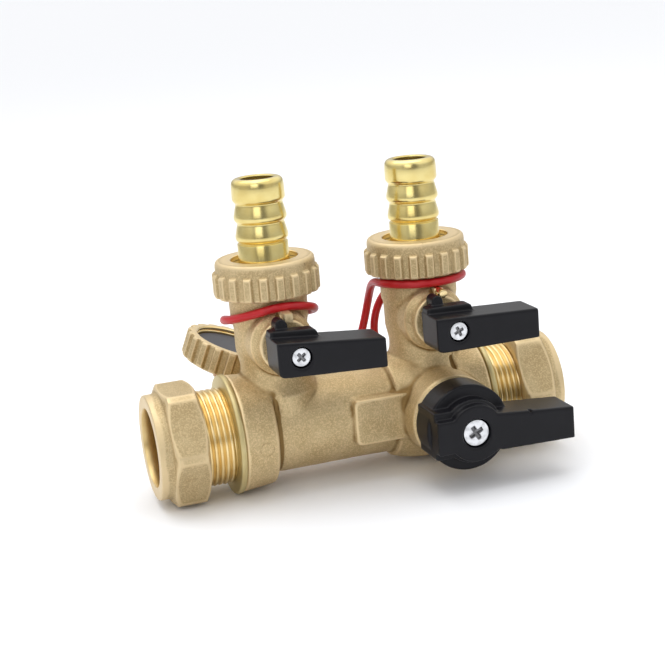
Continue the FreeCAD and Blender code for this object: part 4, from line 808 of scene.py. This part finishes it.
class VALVE_OT_grips(Operator):
    """Makes the ribbed union nuts and caps"""

    bl_idname = "valve.grips"
    bl_label = "Union Nuts and Caps"

    def execute(self, context):
        edges = (2.4, RIB_TOP, 3.9, 4.35, 4.8, 5.25, 5.7, RIB_FOOT, 7.5)
        offsets = sorted((-RIB_PITCH / 2, 0.0, *edges, *(-edge for edge in edges)))
        angles = [math.radians(RIB_PITCH * k + o) for k in range(RIB_COUNT) for o in offsets]
        for side in PIVOTS:
            turned = Matrix.Rotation(math.radians(RIB_TURN[side]), 4, "Z")
            place = Matrix.Scale(MM, 4) @ Matrix.Translation((PIVOTS[side].x, 0, NUT_FOOT)) @ turned
            nut = from_rows(f"{side}_ribbed_nut", self.nut_rows(), angles, place)
            stand_for(nut, f"{side}_union_nut")
            cap = from_rows(f"{side}_ribbed_cap", self.cap_rows(), angles, cap_frame(side), closed=False)
            stand_for(cap, f"{side}_cap")
        return {"FINISHED"}

    def ribs(self, rise, drop=0.0):
        """The band's radius with its ribs standing out by a share of their full height."""
        def radius(angle):
            away = abs((math.degrees(angle) + RIB_PITCH / 2) % RIB_PITCH - RIB_PITCH / 2)
            return BAND + rise * (1 - smooth_step(RIB_TOP, RIB_FOOT, away)) - drop

        return radius

    def rim(self):
        """The rounded ends of the ribs at the open end, and the way into the bore."""
        return [(0.0, self.ribs(0.5, drop=0.35)), (0.0, 12.5, 1)]

    def nut_rows(self):
        inside = 1
        rows = [(0.35, GRIP_BORE, inside), (8.7, GRIP_BORE, inside), (8.7, 9.5, inside), (9.9, 9.5, inside)]
        rows += [(10.1, 9.7), (10.1, 12.9), (10.05, 13.3), (9.85, 13.65), (9.5, 13.92)]
        rows += [(9.05, 14.05), (8.5, BAND)]
        rises = {7.1: 0.0, 6.85: 0.3, 6.6: 0.75, 6.3: 0.97, 5.8: 1.0, 3.5: 1.0, 1.0: 1.0, 0.5: 0.95}
        rows += [(height, self.ribs(rise)) for height, rise in rises.items()]
        rows += [(0.2, self.ribs(0.8, drop=0.08)), *self.rim()]
        return rows

    def cap_rows(self):
        inside = 1
        rows = [(-12.2, 0), (-12.2, 3.7), (-12.1, 3.95), (-11.4, 4.0), (-11.3, 3.9)]
        rows += [(-11.3, 3.0), (-8.7, 3.0), (-8.45, 3.15), (-8.4, 3.5), (-8.4, 12.9)]
        rows += [(-8.35, 13.3), (-8.15, 13.7)]
        rises = {-7.9: 0.3, -7.65: 0.7, -7.3: 0.95, -6.8: 1.0, -3.5: 1.0, -0.9: 1.0, -0.45: 0.95}
        rows += [(height, self.ribs(rise)) for height, rise in rises.items()]
        rows += [(-0.15, self.ribs(0.8, drop=0.08)), *self.rim(), (-0.35, GRIP_BORE, inside)]
        for k in range(4):
            top = -0.6 - k * 1.2
            rows += [(top, GRIP_BORE, inside), (top - 0.3, GRIP_BORE, inside)]
            rows += [(top - 0.6, 12.35, inside), (top - 0.9, GRIP_BORE, inside)]
        rows += [(-6.9, GRIP_BORE, inside), (-6.9, 0, inside)]
        return rows


# Each lever's screw: its distance in front of the run's axis, the radius and height of its head, the radius
# and length of its shank, and the turn of its cross in degrees
SCREWS = {
    "main": (37.2, 3.7, 2.5, 1.95, 7.0, 28.0),
    "left": (29.2, 2.5, 1.8, 1.45, 6.0, 40.0),
    "right": (29.2, 2.5, 1.8, 1.45, 6.0, 24.0),
}
HEAD_EDGE = 0.985


class VALVE_OT_screws(Operator):
    """Makes the three cross-recessed screws of the levers"""

    bl_idname = "valve.screws"
    bl_label = "Lever Screws"

    def execute(self, context):
        for side in SCREWS:
            self.make(side)
        return {"FINISHED"}

    def make(self, side):
        """A low dome with a cross recess, its edge and its shank."""
        reach, radius, height, shank, length, turn = SCREWS[side]
        pivot = PIVOTS.get(side, MAIN_PIVOT)
        place = Matrix.Scale(MM, 4) @ Matrix.Translation((pivot.x, -reach, pivot.z))
        place = place @ Matrix.Rotation(math.pi / 2, 4, "X") @ Matrix.Rotation(math.radians(turn), 4, "Z")
        angles = [math.radians(3 * k) for k in range(120)]
        piece = from_rows(f"{side}_cross_head_screw", [
            (-0.1, radius * HEAD_EDGE), (-0.35, radius), (-height, radius), (-height, shank),
            (-height - length, shank), (-height - length, 0),
        ], angles, place, closed=False)
        form = bmesh.new()
        form.from_mesh(piece.data)
        steps = 22
        rings = [[form.verts.new(place @ Vector((0, 0, self.face(0, 0, radius))))]]
        for step in range(1, steps + 1):
            r = radius * HEAD_EDGE * step / steps
            ring = []
            for angle in angles:
                flat = (r * math.cos(angle), r * math.sin(angle))
                ring.append(form.verts.new(place @ Vector((*flat, self.face(*flat, radius)))))
            rings.append(ring)
        for first, second in zip(rings, rings[1:]):
            for face in band(form, first, second, len(angles)):
                centre = place.inverted() @ face.calc_center_median()
                # Painted shade: faces in the cross recess take the screw's darker second material.
                if self.cross(centre.x, centre.y, radius) > 0.35:
                    face.material_index = 1
        bmesh.ops.remove_doubles(form, verts=form.verts, dist=0.002 * MM)
        bmesh.ops.recalc_face_normals(form, faces=form.faces)
        form.to_mesh(piece.data)
        form.free()
        shade(piece.data, 42)
        stand_for(piece, f"{side}_handle_screw")

    def face(self, x, y, radius):
        """Height of the screw's face over its middle plane."""
        out = math.hypot(x, y) / radius
        dome = -0.1 * radius / 3.7 * (out / HEAD_EDGE) ** 6
        return dome - 0.42 * radius * self.cross(x, y, radius) * (1.0 - 0.55 * min(out / 0.6, 1.0))

    def cross(self, x, y, radius):
        """1 inside the cross recess, 0 outside it."""
        return max(self.arm(x, y, radius), self.arm(y, x, radius))

    def arm(self, along, across, radius):
        """1 inside one bar of the cross, 0 outside it."""
        length = 0.60 * radius
        width = 0.15 * radius
        inside = 1 - smooth_step(length * 0.82, length, abs(along))
        return inside * (1 - smooth_step(width * 0.72, width * 1.25, abs(across)))


class VALVE_OT_discs(Operator):
    """Makes the thick rubber discs in the caps"""

    bl_idname = "valve.discs"
    bl_label = "Cap Discs"

    def execute(self, context):
        angles = [math.radians(5 * k) for k in range(72)]
        rows = [(-6.85, 0), (-6.85, 11.9), (-2.2, 11.9), (-1.95, 11.65), (-1.95, 0)]
        for side in PIVOTS:
            piece = from_rows(f"{side}_rubber_disc", rows, angles, cap_frame(side), closed=False)
            stand_for(piece, f"{side}_cap_washer")
        return {"FINISHED"}


class VALVE_OT_tails(Operator):
    """Makes the two hose tails with their barbs"""

    bl_idname = "valve.tails"
    bl_label = "Hose Tails"

    def execute(self, context):
        angles = [math.radians(3.75 * k) for k in range(96)]
        for side in PIVOTS:
            place = Matrix.Scale(MM, 4) @ Matrix.Translation((PIVOTS[side].x, 0, 45.0))
            piece = from_rows(f"{side}_barbed_tail", self.rows(), angles, place)
            stand_for(piece, f"{side}_hose_tail")
        return {"FINISHED"}

    def rows(self):
        bore, flange, neck, root, barb = 4.7, 10.8, 7.15, 6.4, 7.45
        rows = [(1.5, bore), (1.5, flange), (3.2, flange), (3.2, 7.6), (3.5, 7.25)]
        rows += [(3.9, neck), (8.75, neck), (8.95, neck - 0.1), (9.1, root + 0.35)]
        for k in range(3):
            foot = 9.4 + 5.5 * k
            rows += [(foot, root + 0.4), (foot + 0.35, barb - 0.4), (foot + 0.8, barb - 0.08)]
            rows += [(foot + 1.2, barb)]
            if k < 2:
                rows += [(foot + 1.9, barb - 0.05), (foot + 3.4, barb - 0.42), (foot + 4.7, root + 0.32)]
                rows += [(foot + 5.1, root + 0.2), (foot + 5.35, root + 0.22)]
        rows += [(24.5, barb - 0.06), (25.8, barb - 0.16), (26.35, barb - 0.35), (26.75, barb - 0.68)]
        rows += [(27.0, barb - 1.05), (27.15, barb - 1.5), (27.2, bore + 0.5), (27.1, bore + 0.2)]
        rows += [(26.8, bore)]
        return rows


# Each branch's stop lug: how far it stands beside the branch's axis and above the run's, and its half width
LUG_SHIFT = 0.6
LUG_HEIGHT = 35.4
LUG_HALF = 1.22

# The casting's round mark by the left collar: its middle, radius, line and depth
ROUND_MARK = ((29.8, -16.2, -1.2), 2.0, 0.4, 0.13)


def off_lug(points, side):
    """How far points are from the middle line of a branch's stop lug."""
    return np.hypot(points[:, 0] - PIVOTS[side].x - LUG_SHIFT, points[:, 2] - LUG_HEIGHT)


class VALVE_OT_casting(Operator):
    """Makes the cast body: soft blends between its forms, a slightly uneven skin and a round mark"""

    bl_idname = "valve.casting"
    bl_label = "Casting"

    def execute(self, context):
        forms = context.scene.valve_forms
        copy = gridded(context, frame["nodes"]["valve_body"], "cast_body", forms.casting_voxel)
        painted_shade = self.soften(copy.data, forms)
        # The painted shade deepens the casting's crease colour.
        mark_wear_and_shade(copy.data, 2, 7.0, 1.0, painted_shade)
        shade(copy.data, 60)
        stand_for(copy, "valve_body")
        for side in PIVOTS:
            self.lug(side)
        return {"FINISHED"}

    def outside(self, points):
        """1 on the cast skin and 0 on everything machined or inside, with a short fade."""
        sockets, socket_radius, wall_radius = (31.3, 91.0), 14.2, 13.0
        rims, rim_half = (23.8, 98.2), 0.7
        branch_foot, branch_bore, outlet_face = 12.0, 8.5, 38.6
        stem_bore, stem_boss_face, lug_face = 4.6, -14.4, -12.0
        main_bore, main_recess, main_boss_face = 11.0, -12.6, -22.2
        x, y, z = points.T
        run = np.hypot(y, z)
        ends = (x < sockets[0]) | (x > sockets[1])
        keep = np.where(ends, (run - socket_radius) / 0.8, (run - wall_radius) / 0.1)
        above = np.zeros(len(points), bool)
        for side, pivot in PIVOTS.items():
            branch = np.hypot(x - pivot.x, y)
            near = (z > branch_foot) & (branch < 13.0)
            keep = np.where(near, (branch - branch_bore) / 0.5, keep)
            above |= (z > outlet_face) & (branch < 14.0)
            stem = np.hypot(x - pivot.x, z - STEM_HEIGHT)
            keep = np.where((stem < 7.9) & (y < -7.0), np.minimum((stem - stem_bore) / 0.5, 1.0), keep)
            keep[(y < stem_boss_face) & (stem < 11.0)] = 0.0
            keep[(y < lug_face) & (off_lug(points, side) < 2.6)] = 0.0
        boss = np.hypot(x - MAIN_PIVOT.x, z)
        keep = np.where((y < main_recess) & (boss < 12.0), (boss - main_bore) / 0.8, keep)
        keep[(y < main_boss_face) | above] = 0.0
        for rim in rims:
            keep[np.abs(x - rim) < rim_half] = 0.0
        return np.clip(keep, 0.0, 1.0)

    def collar_creases(self, points):
        """Depth of the creases where the collars of the two ends meet the run."""
        left_place, left_width, left_depth = 34.6, 1.0, 0.45
        right_place, right_width, right_depth, right_span = 88.8, 0.6, 0.75, 74.0
        x, y, z = points.T
        run = np.hypot(y, z)
        left = left_depth * np.exp(-(((x - left_place) / left_width) ** 2)) * fade(17.0 - run, 2.4)
        away = np.degrees(np.arctan2(-y, z))
        span = fade(right_span - np.abs(away), 10.0)
        right = right_depth * np.exp(-(((x - right_place) / right_width) ** 2)) * (run < 17.2) * span
        return left + right

    def lug(self, side):
        """The clean end of a branch's stop lug: square on the left branch and round on the right one."""
        middle = Vector((PIVOTS[side].x + LUG_SHIFT, 0, LUG_HEIGHT))
        count = 4 if side == "left" else 28
        reach = LUG_HALF * (math.sqrt(2) if side == "left" else 1.0)
        angles = [2 * math.pi * (k + 0.5) / count for k in range(count)]
        rows = [(12.5, reach), (17.75, reach), (17.95, reach - 0.1), (18.0, reach - 0.3), (18.0, 0)]
        place = Matrix.Scale(MM, 4) @ Matrix.Translation(middle) @ Matrix.Rotation(math.pi / 2, 4, "X")
        piece = from_rows(f"{side}_lug_end", rows, angles, place, closed=False)
        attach(piece, "valve")

    def soften(self, mesh, forms):
        """Fills the inner corners of the skin, eases the outer ones and adds the casting's unevenness;
        returns the shade to paint in the collar creases and by the feet of the branches.
        """
        first_turns, hollow_pull, first_pull, later_pull = 3, 0.5, 0.4, 0.07
        points = points_of(mesh) / MM
        ends = edge_ends(mesh)
        degree = around(ends, np.ones(len(points)))
        skin = self.outside(points)
        for turn in range(int(forms.casting_passes)):
            total = np.column_stack([around(ends, points[:, axis]) for axis in range(3)])
            pull = total / degree[:, None] - points
            if turn % 10 == 0:
                move_points(mesh, points)
                normals = normals_of(mesh)
            hollow = (pull * normals).sum(1) > 0
            share = np.where(hollow, hollow_pull, first_pull if turn < first_turns else later_pull)
            points = points + pull * (share * skin)[:, None]
        spots = [Vector(p) for p in points]
        rise = np.array([noise.noise(p / 3.3) * 0.05 + noise.noise(p / 9.0) * 0.08 for p in spots])
        middle, radius, line, depth = ROUND_MARK
        away = np.linalg.norm(points - np.array(middle), axis=1)
        rise -= depth * np.exp(-(((away - radius) / line) ** 2))
        creases = self.collar_creases(points)
        points = points + normals * ((rise - creases) * skin)[:, None]
        for side, pivot in PIVOTS.items():
            self.tuck_lug(points, side, pivot.x + LUG_SHIFT)
        move_points(mesh, points)
        # Painted shade: darker in the collar creases and in patches by the branches' feet.
        painted_shade = creases * 1.4
        for middle, size, depth in SHADE_PATCHES:
            away = np.linalg.norm((points - np.array(middle)) / np.array(size), axis=1)
            painted_shade = painted_shade + depth * np.exp(-(away ** 2))
        return painted_shade * skin

    def tuck_lug(self, points, side, middle):
        """Draws the cast end of a stop lug into the clean end that covers it."""
        share, end = 0.6, -17.5
        tip = (points[:, 1] < -14.8) & (off_lug(points, side) < 2.2)
        points[tip, 0] = middle + (points[tip, 0] - middle) * share
        points[tip, 2] = LUG_HEIGHT + (points[tip, 2] - LUG_HEIGHT) * share
        points[tip, 1] = np.maximum(points[tip, 1], end)


# How each lever's bar sits: millimetres below its stem, droop for each millimetre of its length, extra height
SEATING = {"main": (0.4, 0.053, 0.08), "left": (0.5, 0.075, 0.08), "right": (0.65, 0.022, 0.08)}

# The ledge on the back edge of a branch lever reaches the short end: places along the bar, and where they go
LEDGE_FROM = (-9.0, -6.6, -5.05, -4.3, -0.4, 8.4, 12.0, 30.0)
LEDGE_TO = (-9.0, -6.6, -6.5, -4.3, -0.4, 7.0, 12.0, 30.0)

# A branch lever's lower corner: where its rounding starts behind and below the stem, and how square it gets
CORNER_BEHIND = 3.6
CORNER_BELOW = 1.5
CORNER_POWER = 4.6


class VALVE_OT_levers(Operator):
    """Makes the plastic levers with soft edges"""

    bl_idname = "valve.levers"
    bl_label = "Levers"

    def execute(self, context):
        for side in ("main", "left", "right"):
            source = frame["nodes"][f"{side}_handle"]
            copy = gridded(context, source, f"{side}_lever", context.scene.valve_forms.lever_grid)
            for face in copy.data.polygons:
                face.use_smooth = True
            if side in PIVOTS:
                self.tighten_corner(copy.data, PIVOTS[side])
            self.settle(copy.data, side)
            self.soften(copy.data, 9)
            stand_for(copy, f"{side}_handle")
        return {"FINISHED"}

    def settle(self, mesh, side):
        """Sets a lever's bar as it sits on its stem: low, drooping to its tip and a little taller."""
        points = points_of(mesh) / MM
        low, droop, taller = SEATING[side]
        pivot = PIVOTS.get(side, MAIN_PIVOT)
        along = points[:, 0] - pivot.x
        up = points[:, 2] - pivot.z
        out = np.hypot(along, up)
        if side == "main":
            bar_start, bar_half, hub_front, hub_radius = 4.0, 6.6, -31.0, 11.8
            share = fade(along - bar_start, 3.5) * fade(bar_half - np.abs(up), 1.2)
            clear = np.maximum(hub_front - points[:, 1], (out - hub_radius) / 0.5)
            share = share * np.clip(clear, 0.0, 1.0)
        else:
            ledge_foot, ledge_front, hub_radius = 2.6, -24.6, 3.0
            ledge = fade(up - ledge_foot, 1.2) * fade(points[:, 1] - ledge_front, 1.2)
            along = along + (np.interp(along, LEDGE_FROM, LEDGE_TO) - along) * ledge
            points[:, 0] = pivot.x + along
            share = fade(np.hypot(along, up) - hub_radius, 1.2)
        points[:, 2] += share * (up * taller - low - along * droop)
        move_points(mesh, points)

    def tighten_corner(self, mesh, pivot):
        """Draws the short end's wide lower corner out to the tighter rounding of the moulding."""
        points = points_of(mesh) / MM
        behind = pivot.x - CORNER_BEHIND - points[:, 0]
        below = pivot.z - CORNER_BELOW - points[:, 2]
        corner = (behind > 0) & (below > 0)
        behind, below = behind[corner], below[corner]
        reach = (behind ** CORNER_POWER + below ** CORNER_POWER) ** (1 / CORNER_POWER)
        out = np.hypot(behind, below) / reach - 1
        points[corner, 0] -= behind * out
        points[corner, 2] -= below * out
        move_points(mesh, points)

    def soften(self, mesh, passes):
        """Rounds the moulding's edges a little."""
        form = bmesh.new()
        form.from_mesh(mesh)
        for turn in range(passes):
            bmesh.ops.smooth_vert(
                form, verts=form.verts, factor=0.5, use_axis_x=True, use_axis_y=True, use_axis_z=True,
            )
        form.to_mesh(mesh)
        form.free()


# Finishes

ALONG_RUN = ("left_end_adapter", "right_end_adapter", "left_olive", "right_olive")
NUT_SHADE = 0.87


class VALVE_OT_finishes(Operator):
    """Gives every piece its material"""

    bl_idname = "valve.finishes"
    bl_label = "Finishes"

    def execute(self, context):
        chosen = context.scene.valve_finishes
        grain = chosen.grain / MM
        made = {
            "cast_brass": cast_brass("cast_brass", chosen.casting, grain),
            "turned_brass": turned_brass("turned_brass_upright", chosen.turned, 2),
            "bright_brass": turned_brass("polished_brass", chosen.tail, 2),
            "plated_ball": plated("plated_ball", (0.78, 0.78, 0.77), 0.08),
            "seat_plastic": moulded("seat_plastic", (0.82, 0.81, 0.78), 0.4),
            "black_rubber": moulded("black_rubber", (0.016, 0.016, 0.016), 0.6),
            "grey_rubber": moulded("grey_rubber", (0.075, 0.075, 0.082), 0.62, gloss=0.3),
            "black_plastic": moulded("black_plastic", chosen.levers, 0.3, 0.3, 0.012, gloss=0.2),
            "zinc_steel": plated("zinc_steel", (0.74, 0.75, 0.77), 0.24),
            "red_cord": moulded("red_cord", chosen.cords, 0.34, 0.8, 0.01, gloss=0.4, coat=0.05),
        }
        along = turned_brass("turned_brass_along", chosen.turned, 0, 0.27)
        nuts = cast_brass("blasted_brass", tuple(NUT_SHADE * c for c in chosen.casting), grain)
        second = {
            # Painted shade in the screws' cross recesses
            "handle_screw": plated("screw_recess", (0.30, 0.30, 0.31), 0.4),
            "end_adapter": turned_brass("machined_rim", (0.60, 0.51, 0.27), 0, 0.45, 0.3),
            # Painted shade: a darker brass on the inside of the compression nuts' bore and mouth.
            "compression_nut": turned_brass("shaded_bore_brass", (0.70, 0.54, 0.27), 0, 0.34, 0.4),
            "union_nut": made["turned_brass"],
            "cap": made["turned_brass"],
        }
        for name, node in frame["nodes"].items():
            paint(node, along if name in ALONG_RUN else made[SLOTS[name]])
            shade(node.data, 28)
        for piece in context.scene.objects:
            if piece.name.endswith("_lug_end"):
                paint(piece, nuts if piece.name.startswith("left") else made["turned_brass"])
            if "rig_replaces" not in piece:
                continue
            node = piece["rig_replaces"][0]
            kind = node.split("_", 1)[1]
            if kind in ("compression_nut", "union_nut", "cap"):
                materials = [nuts]
            else:
                materials = [along if node in ALONG_RUN else made[SLOTS[node]]]
            if kind in second:
                materials.append(second[kind])
            paint(piece, *materials)
        return {"FINISHED"}


# Panel and registration

ORDER = (
    "stage", "cords", "casting", "levers", "adapters", "compression_nuts",
    "grips", "tails", "discs", "screws", "finishes",
)


class VALVE_PT_panel(Panel):
    """Lists the valve's pieces and their settings"""

    bl_label = "Valve"
    bl_idname = "VALVE_PT_panel"
    bl_space_type = "VIEW_3D"
    bl_region_type = "UI"
    bl_category = "Valve"

    def draw(self, context):
        for name in ORDER:
            self.layout.operator(f"valve.{name}")
        scene = context.scene
        for group in (scene.valve_forms, scene.valve_finishes, scene.valve_studio):
            box = self.layout.box()
            for key in group.bl_rna.properties.keys():
                if key not in ("rna_type", "name"):
                    box.prop(group, key)


CLASSES = (
    ValveForms, ValveFinishes, ValveStudio, VALVE_OT_stage, VALVE_OT_cords, VALVE_OT_casting,
    VALVE_OT_levers, VALVE_OT_adapters, VALVE_OT_compression_nuts, VALVE_OT_grips, VALVE_OT_tails,
    VALVE_OT_discs, VALVE_OT_screws, VALVE_OT_finishes, VALVE_PT_panel,
)


def register():
    for kind in CLASSES:
        bpy.utils.register_class(kind)
    bpy.types.Scene.valve_forms = PointerProperty(type=ValveForms)
    bpy.types.Scene.valve_finishes = PointerProperty(type=ValveFinishes)
    bpy.types.Scene.valve_studio = PointerProperty(type=ValveStudio)


def unregister():
    del bpy.types.Scene.valve_studio
    del bpy.types.Scene.valve_finishes
    del bpy.types.Scene.valve_forms
    for kind in reversed(CLASSES):
        bpy.utils.unregister_class(kind)


def main():
    register()
    for name in ORDER:
        getattr(bpy.ops.valve, name)()
    bpy.context.view_layer.update()


if __name__ == "__main__":
    main()
